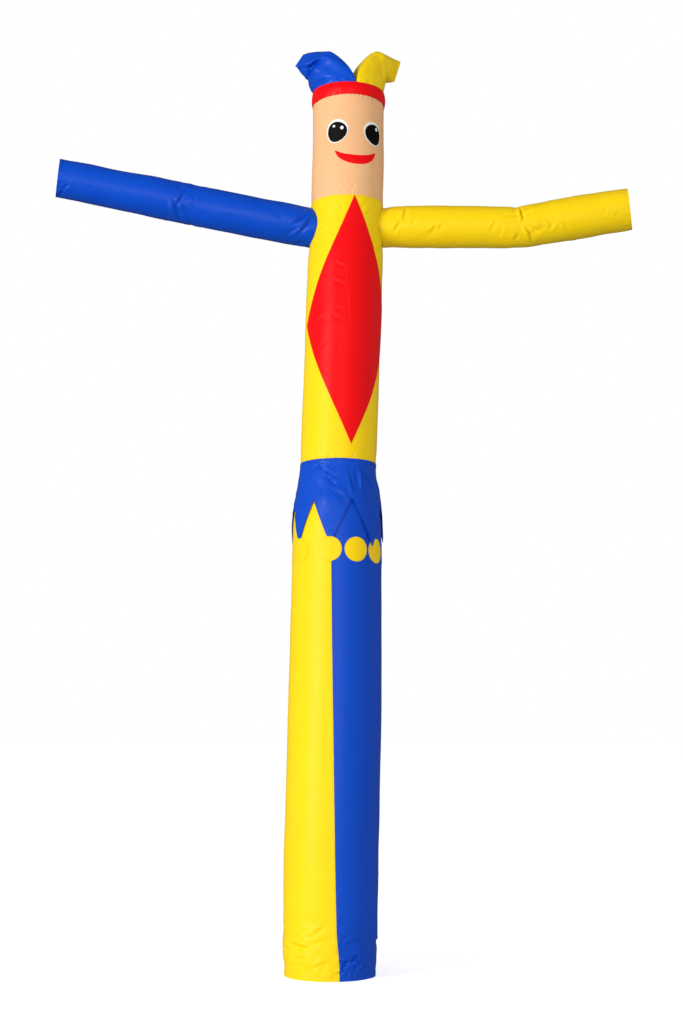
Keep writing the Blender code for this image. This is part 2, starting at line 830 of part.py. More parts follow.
def oval_outline(oval, radius, side=1, sides=OVAL_SIDES):
    """Angle and height of the points round an egg-shaped patch, its narrow end down and outwards."""
    points = []
    tilt = math.radians(oval.tilt)
    for i in range(sides):
        turn = math.tau * i / sides
        up = oval.half_height * math.sin(turn)
        across = oval.half_width * math.cos(turn) * (1 + oval.narrowing * math.sin(turn))
        turned_across = across * math.cos(tilt) - up * math.sin(tilt)
        turned_up = across * math.sin(tilt) + up * math.cos(tilt)
        angle = oval.angle + math.degrees(turned_across / radius)
        points.append((side * angle, oval.height + turned_up))
    return points


def cut_patch(name, colour_name, tube, span, lift, group, cutter):
    """A patch laid on a tube: the tube's own face, lifted clear and cut to the patch's outline."""
    low, high = span
    rows = tube.rows
    first = max(k for k, height in enumerate(rows) if height <= low or k == 0)
    last = min(k for k, height in enumerate(rows) if height >= high or k == len(rows) - 1)
    near_rows = tube._replace(rows=rows[first : last + 1])
    bm = open_tube(TUBE_COLUMNS, len(near_rows.rows), tube_face(near_rows, out=lift))
    piece = add_piece(name, bm, group, colour_name)
    give_thickness(piece, PATCH, inwards=False)
    cut(piece, cutter, "INTERSECT")


def lay_patch(name, colour_name, tube, outline, lift, group, guides):
    """A patch whose outline is given as angles and heights on a tube."""
    cutter = radial_cutter(f"cut_{name}", outline, tube.levels, guides)
    heights = [height for angle, height in outline]
    cut_patch(name, colour_name, tube, (min(heights), max(heights)), lift, group, cutter)


def make_diamond(group, guides):
    """The red diamond, from the neck seam nearly to the waist and halfway round the torso."""

    def place(column, row):
        right, down = column / DIAMOND_STEPS, row / DIAMOND_STEPS
        corner_top = (DIAMOND_TOP_ANGLE, DIAMOND_TOP)
        corner_right = (DIAMOND_RIGHT, DIAMOND_SIDE_HEIGHT)
        corner_left = (DIAMOND_LEFT, DIAMOND_SIDE_HEIGHT)
        corner_bottom = (DIAMOND_BOTTOM_ANGLE, DIAMOND_BOTTOM)
        angle, height = (
            corner_top[k] * (1 - right) * (1 - down)
            + corner_right[k] * right * (1 - down)
            + corner_left[k] * (1 - right) * down
            + corner_bottom[k] * right * down
            for k in (0, 1)
        )
        return on_tube(TORSO, (), angle, height, -CUTTER_DEPTH)

    bm = flat_panel(DIAMOND_STEPS, DIAMOND_STEPS, place)
    wall = bmesh.ops.extrude_face_region(bm, geom=list(bm.faces))
    for element in wall["geom"]:
        if isinstance(element, bmesh.types.BMVert):
            shift = read_row(TORSO, "shift", element.co.z)
            outwards = Vector((element.co.x - shift, element.co.y, 0.0)).normalized()
            element.co += outwards * (CUTTER_DEPTH + CUTTER_REACH)
    bmesh.ops.recalc_face_normals(bm, faces=bm.faces)
    cutter = hide_cutter(add_piece("cut_diamond", bm, guides))
    cut_patch("diamond", "red", TORSO_TUBE, (DIAMOND_BOTTOM, DIAMOND_TOP), GAP, group, cutter)


def disc_outline(angle, radius):
    """Angle and height of the points round a disc on the trousers."""
    wrap = read_row(TROUSERS, "radius", DISC_HEIGHT)
    points = []
    for i in range(DISC_SIDES):
        turn = math.tau * i / DISC_SIDES
        across = math.degrees(radius * math.cos(turn) / wrap)
        points.append((angle + across, DISC_HEIGHT + radius * math.sin(turn)))
    return points


def make_discs(group, guides):
    """The yellow discs laid round the trousers."""
    for number, angle in enumerate(DISC_ANGLES, start=1):
        outline = disc_outline(angle, DISC_RADIUS)
        lay_patch(f"disc_{number}", "yellow", TROUSER_TUBE, outline, GAP, group, guides)


def make_face(group, guides):
    """The eyes and the smile, laid on the head in layers."""
    wrap = read_row(HEAD, "radius", EYE_WHITE.height)
    layer = PATCH + GAP
    for word, side in (("left", -1), ("right", 1)):
        white = oval_outline(EYE_WHITE, wrap, side)
        lay_patch(f"eye_white_{word}", "white", HEAD_TUBE, white, GAP, group, guides)
        pupil = oval_outline(PUPIL, wrap, side)
        lay_patch(f"pupil_{word}", "black", HEAD_TUBE, pupil, GAP + layer, group, guides)
    for name, oval in GLINTS.items():
        glint = oval_outline(oval, wrap, sides=GLINT_SIDES)
        lay_patch(name, "white", HEAD_TUBE, glint, GAP + 2 * layer, group, guides)
    smile = [(p.angle, p.lower) for p in SMILE] + [(p.angle, p.upper) for p in reversed(SMILE)]
    lay_patch("mouth", "red", HEAD_TUBE, smile, GAP, group, guides)


def main():
    """Builds the figure."""
    clear_scene()
    figure = new_collection("tube_figure")
    guides = new_collection("guides")
    make_trousers(figure)
    armholes = [
        make_armhole_cutter("cut_armhole_blue", -1, ARM_BLUE, ARM_PINCHES_BLUE, guides),
        make_armhole_cutter("cut_armhole_yellow", 1, ARM_YELLOW, ARM_PINCHES_YELLOW, guides),
    ]
    make_torso(figure, armholes)
    torso_face = make_torso_cutter(guides)
    make_arm("arm_blue", "blue", -1, ARM_BLUE, ARM_PINCHES_BLUE, figure, torso_face)
    make_arm("arm_yellow", "yellow", 1, ARM_YELLOW, ARM_PINCHES_YELLOW, figure, torso_face)
    make_diamond(figure, guides)
    tips = [
        radial_cutter(f"cut_tip_{i}", disc_outline(angle, DISC_RADIUS + 2 * GAP), TROUSERS, guides)
        for i, angle in enumerate(DISC_ANGLES[:DISCS_OVER_TEETH], start=1)
    ]
    make_skirt(figure, tips)
    make_discs(figure, guides)
    make_head(figure)
    make_headband(figure)
    make_face(figure, guides)
    make_horn("horn_blue", "blue", HORN_BLUE, figure)
    make_horn("horn_yellow", "yellow", HORN_YELLOW, figure)


main()
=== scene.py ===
"""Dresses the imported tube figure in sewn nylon: thin cloth on each solid, its creases, seams and stitches.

Everything is in metres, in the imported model's frame: the blower mouth's middle is the origin, the face
looks along -Y, the arms leave along -X and +X, and +Z is up. Places on a piece are given as degrees
round it from the front, growing towards +X, and as metres along it. Creases give their width and
depth as drawn sizes in millimetres, which CREASE_SPREAD and CREASE_GAIN scale for the cloth.
"""

import json
import logging
import math
from collections.abc import Callable, Iterable, Sequence
from dataclasses import dataclass, replace
from enum import Enum

import bmesh
import bpy
import numpy as np
from mathutils import Matrix, Vector

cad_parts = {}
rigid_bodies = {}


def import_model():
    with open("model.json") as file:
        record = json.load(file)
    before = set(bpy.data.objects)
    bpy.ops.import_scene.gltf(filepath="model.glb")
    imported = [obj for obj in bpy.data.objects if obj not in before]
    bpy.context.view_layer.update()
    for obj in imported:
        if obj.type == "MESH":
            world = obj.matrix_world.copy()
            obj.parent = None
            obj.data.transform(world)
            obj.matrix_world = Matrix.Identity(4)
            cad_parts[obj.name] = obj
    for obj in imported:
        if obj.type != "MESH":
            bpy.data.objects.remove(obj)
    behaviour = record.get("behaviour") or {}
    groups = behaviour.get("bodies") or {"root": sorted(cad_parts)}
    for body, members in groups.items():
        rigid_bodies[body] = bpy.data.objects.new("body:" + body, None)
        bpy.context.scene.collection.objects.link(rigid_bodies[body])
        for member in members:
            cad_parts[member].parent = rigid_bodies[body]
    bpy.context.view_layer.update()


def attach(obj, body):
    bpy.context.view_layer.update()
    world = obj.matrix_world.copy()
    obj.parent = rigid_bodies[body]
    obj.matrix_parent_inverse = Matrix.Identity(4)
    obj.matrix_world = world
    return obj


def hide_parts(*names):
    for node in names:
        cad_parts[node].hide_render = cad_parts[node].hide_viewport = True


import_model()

Array = np.ndarray
Spot = Callable[[Array, Array], tuple[Array, Array]]
Colour = tuple[float, float, float]
Place = tuple[float, float, float]

LOG = logging.getLogger("tube_figure")
BODY = "root"
UV_NAME = "UVMap"

MM = 0.001
CLOTH = 1.2 * MM
PATCH = 0.7 * MM
GAP = 0.3 * MM
WELD = 0.02 * MM
SHARP_EDGE = 50.0

# A drawn crease is deepened by the first of these and widened by the second.
CREASE_GAIN = 2.6
CREASE_SPREAD = 1.5
# A crease's ends have this share of its width, and its depth fades towards them by this power.
END_WIDTH = 0.4
END_FADE = 1.5
# Its bank lies this many half widths beside its middle, and has this many times its half width.
BANK_PLACE = 1.35
BANK_WIDTH = 1.1
# A pucker keeps this share of its drawn depth, and starts this share of its rise across the seam.
PUCKER_SHARE = 0.5
PUCKER_TAIL = 0.35
# The radius at which the strewn creases' metres are turned into degrees, and the head's at its patches.
STREWN_RADIUS = 0.14
FACE_RADIUS = 0.1204
# Half of a stitch's length, as a share of the pitch, and half its width and depth.
STITCH_LENGTH = 0.38
STITCH_WIDTH = 0.42 * MM
STITCH_DEPTH = 0.40 * MM

WAIST = 1.6256
NECK = 2.5080
HEAD_BOTTOM = 2.4990
HEAD_TOP = 2.8840

TROUSER_LEVELS = (
    (0.000, 0.0000, 0.1435),
    (0.020, 0.0000, 0.1435),
    (0.060, 0.0000, 0.1475),
    (0.120, 0.0002, 0.1490),
    (0.200, 0.0015, 0.1487),
    (0.340, 0.0032, 0.1503),
    (0.540, 0.0082, 0.1500),
    (0.790, 0.0140, 0.1507),
    (1.000, 0.0175, 0.1485),
    (1.230, 0.0207, 0.1462),
    (1.340, 0.0220, 0.1450),
    (1.420, 0.0227, 0.1435),
    (1.460, 0.0230, 0.1402),
    (1.490, 0.0233, 0.1355),
    (1.520, 0.0236, 0.1300),
    (1.560, 0.0242, 0.1232),
    (1.600, 0.0251, 0.1188),
    (1.620, 0.0257, 0.1186),
    (1.629, 0.0259, 0.1217),
    (1.640, 0.0262, 0.1217),
)
TORSO_LEVELS = (
    (WAIST, 0.0259, 0.1235),
    (1.640, 0.0262, 0.1235),
    (1.665, 0.0272, 0.1246),
    (1.720, 0.0290, 0.1250),
    (1.840, 0.0340, 0.1253),
    (2.000, 0.0392, 0.1247),
    (2.140, 0.0442, 0.1262),
    (2.300, 0.0498, 0.1252),
    (2.370, 0.0530, 0.1225),
    (2.420, 0.0545, 0.1209),
    (2.490, 0.0556, 0.1212),
    (NECK, 0.0560, 0.1213),
)
HEAD_LEVELS = (
    (HEAD_BOTTOM, 0.0558, 0.1192),
    (2.509, 0.0560, 0.1192),
    (2.522, 0.0566, 0.1204),
    (2.560, 0.0573, 0.1212),
    (2.620, 0.0590, 0.1213),
    (2.700, 0.0603, 0.1204),
    (2.836, 0.0608, 0.1203),
    (2.860, 0.0609, 0.1199),
    (HEAD_TOP, 0.0610, 0.1195),
)
FRONT_SEAM = (
    (0.000, -0.5),
    (0.020, -0.5),
    (0.155, -4.5),
    (0.400, -8.0),
    (0.700, -12.6),
    (1.170, -18.1),
    (1.330, -19.3),
    (1.640, -19.3),
)
SKIRT_TOP = WAIST - GAP
SKIRT_LEVELS = (
    (1.330, 0.0220, 0.1502),
    (1.360, 0.0222, 0.1500),
    (1.400, 0.0226, 0.1488),
    (1.440, 0.0229, 0.1470),
    (1.470, 0.0231, 0.1448),
    (1.493, 0.0233, 0.1423),
    (1.519, 0.0236, 0.1378),
    (1.546, 0.0240, 0.1330),
    (1.572, 0.0244, 0.1284),
    (1.600, 0.0251, 0.1249),
    (SKIRT_TOP, 0.0259, 0.1235),
)


def smooth_read(rows: Sequence[Sequence[float]], column: int, at: Array) -> Array:
    """Reads a column of a table along a smooth curve that never overshoots its rows.

    Args:
        rows: the table, whose first column grows from row to row.
        column: the column to read.
        at: the places, in the first column's measure.

    Returns:
        The value at each place.
    """
    table = np.asarray(rows, float)
    places, values = table[:, 0], table[:, column]
    steps = np.diff(places)
    slopes = np.diff(values) / steps
    before, after = slopes[:-1], slopes[1:]
    total = np.where(before + after == 0.0, 1.0, before + after)
    tangents = np.empty_like(values)
    tangents[0], tangents[-1] = slopes[0], slopes[-1]
    tangents[1:-1] = np.where(before * after > 0.0, 2 * before * after / total, 0.0)
    at = np.clip(np.asarray(at, float), places[0], places[-1])
    i = np.clip(np.searchsorted(places, at, side="right") - 1, 0, len(steps) - 1)
    t = (at - places[i]) / steps[i]
    rising = tangents[i] * steps[i] * t * (1 - t) ** 2 - tangents[i + 1] * steps[i] * t**2 * (1 - t)
    return values[i] * (1 + 2 * t) * (1 - t) ** 2 + values[i + 1] * t**2 * (3 - 2 * t) + rising


def turn_between(angle: float | Array, other: float | Array) -> float | Array:
    """The signed turn from one angle to another, from -180 to 180 degrees."""
    return (other - angle + 180.0) % 360.0 - 180.0


def smooth_step(low: float, high: float, at: Array) -> Array:
    """A share that rises smoothly from 0 at low to 1 at high."""
    share = np.clip((at - low) / (high - low), 0.0, 1.0)
    return share * share * (3 - 2 * share)


@dataclass(frozen=True)
class Trough:
    """A broad soft trough that the solid has too: its middle, lean, length, width and depth in metres."""

    angle: float
    height: float
    lean: float
    length: float
    width: float
    depth: float

    def relief(self, angle: Array, height: Array, radius: Array) -> Array:
        """How far the cloth stands out at places of a tube, which is less than nothing here."""
        across = np.radians(turn_between(self.angle, angle)) * radius
        up = height - self.height
        lean = math.radians(self.lean)
        along = across * math.cos(lean) + up * math.sin(lean)
        aside = up * math.cos(lean) - across * math.sin(lean)
        return -self.depth * np.exp(-((2 * along / self.length) ** 2) - (2 * aside / self.width) ** 2)


@dataclass(frozen=True)
class Crease:
    """A trough in cloth from one place to another, or a ridge where its depth is negative.

    Its width and depth are drawn sizes in millimetres, scaled by CREASE_SPREAD and CREASE_GAIN. A bank
    of cloth stands up along its left side, or its right side where bank is negative, and bow bends it
    to its left by that many millimetres, which aren't scaled.
    """

    angle: float
    height: float
    to_angle: float
    to_height: float
    width: float
    depth: float
    bank: float = 0.55
    bow: float = 0.0

    def relief(self, angle: Array, height: Array, radius: Array) -> Array:
        """How far the crease moves the cloth out.

        Args:
            angle: degrees round the piece.
            height: metres along it.
            radius: the piece's radius there.

        Returns:
            Metres out from the plain face, at each place.
        """
        run = math.radians(turn_between(self.angle, self.to_angle)) * radius
        rise = self.to_height - self.height
        length = np.hypot(run, rise)
        across = np.radians(turn_between(self.angle, angle)) * radius
        up = height - self.height
        share = (across * run + up * rise) / length**2
        body = 1 - (2 * share - 1) ** 2
        near = body > 0.0
        relief = np.zeros_like(across)
        body = body[near]
        aside = ((up * run - across * rise) / length)[near] - self.bow * MM * body
        width = CREASE_SPREAD * self.width * MM / 2 * (END_WIDTH + (1 - END_WIDTH) * np.sqrt(body))
        beside = aside - math.copysign(BANK_PLACE, self.bank) * width
        trough = np.exp(-((aside / width) ** 2))
        bank = abs(self.bank) * np.exp(-((beside / (BANK_WIDTH * width)) ** 2))
        relief[near] = -CREASE_GAIN * self.depth * MM * body**END_FADE * (trough - bank)
        return relief


@dataclass(frozen=True)
class Welt:
    """Cloth doubled along a seam or hem that runs round a tube, so it stands a little proud."""

    bottom: float
    top: float
    rise: float
    soft: float = 1.5 * MM

    def relief(self, angle: Array, height: Array, radius: Array) -> Array:
        """Metres out from the plain face, at each place."""
        inside = smooth_step(self.bottom - self.soft, self.bottom + self.soft, height)
        return self.rise * inside * (1 - smooth_step(self.top - self.soft, self.top + self.soft, height))


@dataclass(frozen=True)
class SeamWelt:
    """The felled seam that runs up the trousers, between two distances round the tube from it."""

    near: float
    far: float
    rise: float
    turn: float = 0.0
    soft: float = 1.2 * MM

    def relief(self, angle: Array, height: Array, radius: Array) -> Array:
        """Metres out from the plain face, at each place."""
        seam = smooth_read(FRONT_SEAM, 1, height) + self.turn
        across = np.radians(turn_between(seam, angle)) * radius
        inside = smooth_step(self.near - self.soft, self.near + self.soft, across)
        return self.rise * inside * (1 - smooth_step(self.far - self.soft, self.far + self.soft, across))


Relief = Trough | Crease | Welt | SeamWelt


@dataclass(frozen=True)
class Billow:
    """Slow uneven swells of air-filled cloth, with soft creases between them.

    Attributes:
        seed: which swells.
        size: how far apart they are.
        swell: how high they stand.
        crinkle: how deep the creases between them are.
        middle, reach: the place along the piece where they are strongest, and how far they fade.
        rest: the share of their strength that is left away from there.
        waves: how many waves are summed.
        crease_width: how wide the creases between them are, as a share of a wave's height.
    """

    seed: int
    size: float
    swell: float
    crinkle: float = 0.0
    middle: float = 0.0
    reach: float = 100.0
    rest: float = 0.0
    waves: int = 14
    crease_width: float = 0.35

    def at(self, points: Array, height: Array) -> Array:
        """Metres out from the plain face, at points given in space and by their place along the piece."""
        rng = np.random.default_rng(self.seed)
        total = np.zeros(len(points))
        crossing = np.zeros(len(points))
        for _ in range(self.waves):
            way = rng.normal(size=3)
            way /= np.linalg.norm(way)
            phase = points @ (way * math.tau / (self.size * rng.uniform(0.7, 1.7))) + rng.uniform(0, math.tau)
            total += np.cos(phase)
            crossing += np.sin(phase)
        scale = math.sqrt(self.waves / 2)
        fade = self.rest + (1 - self.rest) * np.exp(-(((height - self.middle) / self.reach) ** 2))
        creased = np.exp(-((crossing / scale / self.crease_width) ** 2))
        return fade * (self.swell * total / scale - self.crinkle * creased)


def tube_points(shift: Array, radius: Array, turn: Array, height: Array) -> Array:
    """Points at a radius and a turn round an upright middle line that is shifted along +X."""
    return np.column_stack((shift + radius * np.sin(turn), -radius * np.cos(turn), height))


class Form:
    """A face of cloth that can be read at places across and along it."""

    reliefs: tuple[Relief, ...] = ()
    billows: tuple[Billow, ...] = ()
    facing: float = 1.0
    across_step: float = 0.25
    along_step: float = 0.0006

    def surface(self, across: Array, along: Array) -> Array:
        """Points of the face, one row for each place."""
        raise NotImplementedError

    def metres(self, across: Array, along: Array) -> tuple[Array, Array]:
        """The places as metres of flat cloth, for the weave."""
        raise NotImplementedError

    def normal(self, across: Array, along: Array) -> Array:
        """The direction straight out of the face at each place."""
        step, rise = self.across_step, self.along_step
        right = self.surface(across + step, along) - self.surface(across - step, along)
        up = self.surface(across, along + rise) - self.surface(across, along - rise)
        out = np.cross(right, up) * self.facing
        return out / np.maximum(np.linalg.norm(out, axis=1, keepdims=True), 1e-12)

    def stand_out(self, across: Array, along: Array, radius: Array, plain: Array) -> Array:
        """How far the reliefs and swells move the face out at places of the plain face."""
        out = np.zeros_like(radius)
        for relief in self.reliefs:
            out += relief.relief(across, along, radius)
        for billow in self.billows:
            out += billow.at(plain, along)
        return out

    def place(self, across: Array, along: Array, out: float = 0.0) -> Array:
        """Points that far out from the face."""
        points = self.surface(across, along)
        return points + out * self.normal(across, along) if out else points


@dataclass(frozen=True)
class UprightFold:
    """A soft upright fold of the skirt: where it lies, its width in degrees and how far it stands out."""

    angle: float
    width: float
    rise: float


@dataclass(frozen=True)
class TubeForm(Form):
    """An upright tube of cloth.

    Attributes:
        levels: height, the middle's shift along +X, and radius, row by row.
        reliefs: the troughs, creases and welts in its face.
        billows: its uneven swells.
        folds: upright folds, which open out downwards from fold_top to fold_low, by fold_power.
    """

    levels: tuple[tuple[float, float, float], ...]
    reliefs: tuple[Relief, ...] = ()
    billows: tuple[Billow, ...] = ()
    folds: tuple[UprightFold, ...] = ()
    fold_top: float = 1.0
    fold_low: float = 0.0
    fold_power: float = 1.5

    def radius(self, height: Array) -> Array:
        """The plain tube's radius at each height."""
        return smooth_read(self.levels, 2, height)

    def surface(self, across: Array, along: Array) -> Array:
        """Points of the tube's outer face, one row for each place."""
        across = np.asarray(across, float)
        along = np.asarray(along, float)
        turn = np.radians(across)
        radius = self.radius(along)
        shift = smooth_read(self.levels, 1, along)
        out = self.stand_out(across, along, radius, tube_points(shift, radius, turn, along))
        below = np.clip((self.fold_top - along) / (self.fold_top - self.fold_low), 0.0, None)
        for fold in self.folds:
            aside = turn_between(fold.angle, across) / fold.width
            out += below**self.fold_power * fold.rise * np.exp(-(aside**2))
        return tube_points(shift, radius + out, turn, along)

    def metres(self, across: Array, along: Array) -> tuple[Array, Array]:
        """The places as metres of flat cloth, for the weave."""
        size = float(np.mean([level[2] for level in self.levels]))
        return np.radians(across) * size, along


@dataclass(frozen=True)
class BandForm(Form):
    """The headband, puffed out between its seams and read by metres above its lower edge.

    Attributes:
        rows: share of the way up, the middle's shift along +X, and radius, row by row.
        bottom, top: the heights of its lower edge at the front and its upper edge at the sides.
        bottom_dip, top_dip: how far each edge lies lower at the front than at the sides.
        reliefs, billows: as on a tube.
    """

    rows: tuple[tuple[float, float, float], ...]
    bottom: float
    bottom_dip: float
    top: float
    top_dip: float
    reliefs: tuple[Relief, ...] = ()
    billows: tuple[Billow, ...] = ()

    @property
    def height(self) -> float:
        """The band's height at its front."""
        return self.top - self.top_dip - self.bottom

    def surface(self, across: Array, along: Array) -> Array:
        """Points of the band's outer face, one row for each place."""
        across = np.asarray(across, float)
        turn = np.radians(across)
        rise = np.sin(turn) ** 2
        bottom = self.bottom + self.bottom_dip * rise
        top = self.top - self.top_dip * (1 - rise)
        share = np.asarray(along, float) / self.height
        radius = smooth_read(self.rows, 2, share)
        shift = smooth_read(self.rows, 1, share)
        height = bottom + (top - bottom) * share
        out = self.stand_out(across, along, radius, tube_points(shift, radius, turn, height))
        return tube_points(shift, radius + out, turn, height)

    def metres(self, across: Array, along: Array) -> tuple[Array, Array]:
        """The places as metres of flat cloth, for the weave."""
        return np.radians(across) * self.rows[0][2], along


@dataclass(frozen=True)
class ArmForm(Form):
    """An arm tube, read by degrees up its front from level, and metres from the torso's middle.

    Attributes:
        side: -1 for the arm that leaves along -X, or 1.
        sections: metres from the torso's middle, the middle's height, and radius, row by row.
        reliefs, billows: as on a tube.
        sweep: how far the arm turns out of the figure's own plane, in degrees.
        root_shift: how far the torso's middle is shifted along +X there.
        end_slant: how far the cuff's front is drawn in, and its back let out.
        slant_from: where along the arm that starts.
        slope_step: the step by which the middle line's slope is read.
    """

    side: int
    sections: tuple[tuple[float, float, float], ...]
    reliefs: tuple[Relief, ...] = ()
    billows: tuple[Billow, ...] = ()
    sweep: float = 9.0
    root_shift: float = 0.0545
    end_slant: float = 0.0
    slant_from: float = 0.80
    slope_step: float = 0.004

    @property
    def facing(self) -> float:
        """1 where degrees and metres turn outwards as on an upright tube, or else -1."""
        return -float(self.side)

    @property
    def ahead(self) -> Array:
        """The level direction from the torso towards the cuff."""
        sweep = math.radians(self.sweep)
        return np.array([self.side * math.cos(sweep), -self.side * math.sin(sweep), 0.0])

    @property
    def front(self) -> Array:
        """The level direction out of the arm's front."""
        sweep = math.radians(self.sweep)
        return np.array([-math.sin(sweep), -math.cos(sweep), 0.0])

    def surface(self, across: Array, along: Array) -> Array:
        """Points of the arm's outer face, one row for each place."""
        across = np.asarray(across, float)
        along = np.asarray(along, float)
        upright = np.array([0.0, 0.0, 1.0])
        before = smooth_read(self.sections, 1, along - self.slope_step)
        after = smooth_read(self.sections, 1, along + self.slope_step)
        slope = np.arctan2(after - before, 2 * self.slope_step)[:, None]
        up = upright * np.cos(slope) - self.ahead * np.sin(slope)
        radius = smooth_read(self.sections, 2, along)
        turn = np.radians(across)
        middle = self.ahead * along[:, None] + upright * smooth_read(self.sections, 1, along)[:, None]
        middle[:, 0] += self.root_shift
        way = self.front * np.cos(turn)[:, None] + up * np.sin(turn)[:, None]
        out = self.stand_out(across, along, radius, middle + way * radius[:, None])
        near_end = smooth_step(self.slant_from, self.sections[-1][0], along)
        drawn_in = self.end_slant * np.cos(turn) * near_end
        return middle + way * (radius + out)[:, None] - self.ahead * drawn_in[:, None]

    def metres(self, across: Array, along: Array) -> tuple[Array, Array]:
        """The places as metres of flat cloth, for the weave."""
        return np.radians(across) * self.sections[0][2], along


@dataclass(frozen=True)
class HornForm(Form):
    """A horn of the cap, read by degrees round it from its outer edge and metres from its root.

    Each section has its outer and inner edge points, its half depth, and how straight its inner side
    is. They're spread evenly over the horn's length, and their x is taken from middle, the head's own
    shift along +X. Creases read mean_radius, and all relief fades where a section is under thin_size.
    """

    side: int
    sections: tuple[tuple[float, float, float, float, float, float], ...]
    length: float
    reliefs: tuple[Relief, ...] = ()
    billows: tuple[Billow, ...] = ()
    middle: float = 0.0610
    mean_radius: float = 0.08
    thin_size: float = 0.02
    across_step: float = 1.0
    along_step: float = 0.0015

    @property
    def facing(self) -> float:
        """1 where degrees and metres turn outwards as on an upright tube, or else -1."""
        return float(self.side)

    def surface(self, across: Array, along: Array) -> Array:
        """Points of the horn's outer face, one row for each place."""
        turn = np.radians(np.asarray(across, float))
        along = np.clip(np.asarray(along, float), 0.0, self.length)
        last = len(self.sections) - 1
        rows = [(self.length * i / last, *section) for i, section in enumerate(self.sections)]
        outer_x, outer_z, inner_x, inner_z = (smooth_read(rows, k, along) for k in range(1, 5))
        depth, straightness = smooth_read(rows, 5, along), smooth_read(rows, 6, along)
        oval = (1 + np.cos(turn)) / 2
        straight = np.maximum(0.0, np.cos(turn))
        share = oval + (straight - oval) * straightness
        x = inner_x + (outer_x - inner_x) * share + self.middle
        y = depth * np.sin(turn)
        z = inner_z + (outer_z - inner_z) * share
        centre_x = (inner_x + outer_x) / 2 + self.middle
        centre_z = (inner_z + outer_z) / 2
        plain = np.column_stack((x, y, z))
        way = np.column_stack((x - centre_x, y, z - centre_z))
        size = np.maximum(np.linalg.norm(way, axis=1), 1e-6)
        way /= size[:, None]
        out = self.stand_out(across, along, np.full_like(x, self.mean_radius), plain)
        return plain + way * (out * np.minimum(1.0, size / self.thin_size))[:, None]

    def metres(self, across: Array, along: Array) -> tuple[Array, Array]:
        """The places as metres of flat cloth, for the weave."""
        return np.radians(across) * self.mean_radius, along


def puckers(
    seed: int,
    count: int,
    span: tuple[float, float],
    height: float,
    reach: tuple[float, float],
    width: tuple[float, float] = (3.0, 5.5),
    depth: tuple[float, float] = (0.35, 0.9),
    lean: float = 3.0,
) -> tuple[Crease, ...]:
    """Short creases that leave a seam round a tube.

    Args:
        seed: which creases.
        count: how many.
        span: the degrees between which they lie.
        height: where the seam is.
        reach: the least and greatest rise of their far ends, in metres, which is negative below the seam.
        width: their least and greatest drawn width, in millimetres.
        depth: their least and greatest depth before PUCKER_SHARE, in drawn millimetres.
        lean: how far their far ends wander, in degrees.

    Returns:
        The creases.
    """
    rng = np.random.default_rng(seed)
    made = []
    for _ in range(count):
        angle = rng.uniform(*span)
        far = rng.uniform(*reach)
        made.append(
            Crease(
                angle,
                height - PUCKER_TAIL * far,
                angle + rng.normal(0.0, lean),
                height + far,
                rng.uniform(*width),
                PUCKER_SHARE * rng.uniform(*depth),
                float(rng.choice((-0.6, 0.6))),
                rng.normal(0.0, 1.0),
            )
        )
    return tuple(made)


def scattered(
    seed: int,
    count: int,
    span: tuple[float, float],
    heights: tuple[float, float],
    length: tuple[float, float],
    depth: tuple[float, float] = (0.5, 1.3),
    slant: float = 35.0,
) -> tuple[Crease, ...]:
    """Creases strewn over a stretch of cloth, such as one that the picture doesn't show.

    Args:
        seed: which creases.
        count: how many.
        span: the degrees between which they start.
        heights: the heights between which they start.
        length: their least and greatest length, in metres.
        depth: their least and greatest drawn depth, in millimetres.
        slant: how steeply they may lean, in degrees.

    Returns:
        The creases.
    """
    rng = np.random.default_rng(seed)
    made = []
    for _ in range(count):
        angle, height = rng.uniform(*span), rng.uniform(*heights)
        size, lean = rng.uniform(*length), math.radians(rng.uniform(-slant, slant))
        far_angle = angle + math.degrees(size * math.cos(lean) / STREWN_RADIUS)
        far_height = height + size * math.sin(lean)
        width, deep = rng.uniform(5, 9), rng.uniform(*depth)
        bank, bow = float(rng.choice((-0.6, 0.6))), rng.normal(0, 3)
        made.append(Crease(angle, height, far_angle, far_height, width, deep, bank, bow))
    return tuple(made)


class Socket:
    """A value in a shader, whose arithmetic adds Math nodes."""

    def __init__(self, graph: "Graph", output: bpy.types.NodeSocket) -> None:
        """Holds an output of a node of the graph."""
        self.graph = graph
        self.output = output

    def math(self, operation: str, *others: "Socket | float") -> "Socket":
        """The result of a Math node on this value and others."""
        values = {i: value for i, value in enumerate((self, *others))}
        return self.graph.node("ShaderNodeMath", {"operation": operation}, values)

    def beside(self, name: str) -> "Socket":
        """Another output of the node that this value comes from."""
        return Socket(self.graph, self.output.node.outputs[name])

    def __add__(self, other: "Socket | float") -> "Socket":
        """This plus the other."""
        return self.math("ADD", other)

    __radd__ = __add__

    def __mul__(self, other: "Socket | float") -> "Socket":
        """This times the other."""
        return self.math("MULTIPLY", other)

    __rmul__ = __mul__

    def __sub__(self, other: "Socket | float") -> "Socket":
        """This less the other."""
        return self.math("SUBTRACT", other)

    def __rsub__(self, other: float) -> "Socket":
        """The other less this."""
        return self.math("MULTIPLY", -1.0).math("ADD", other)


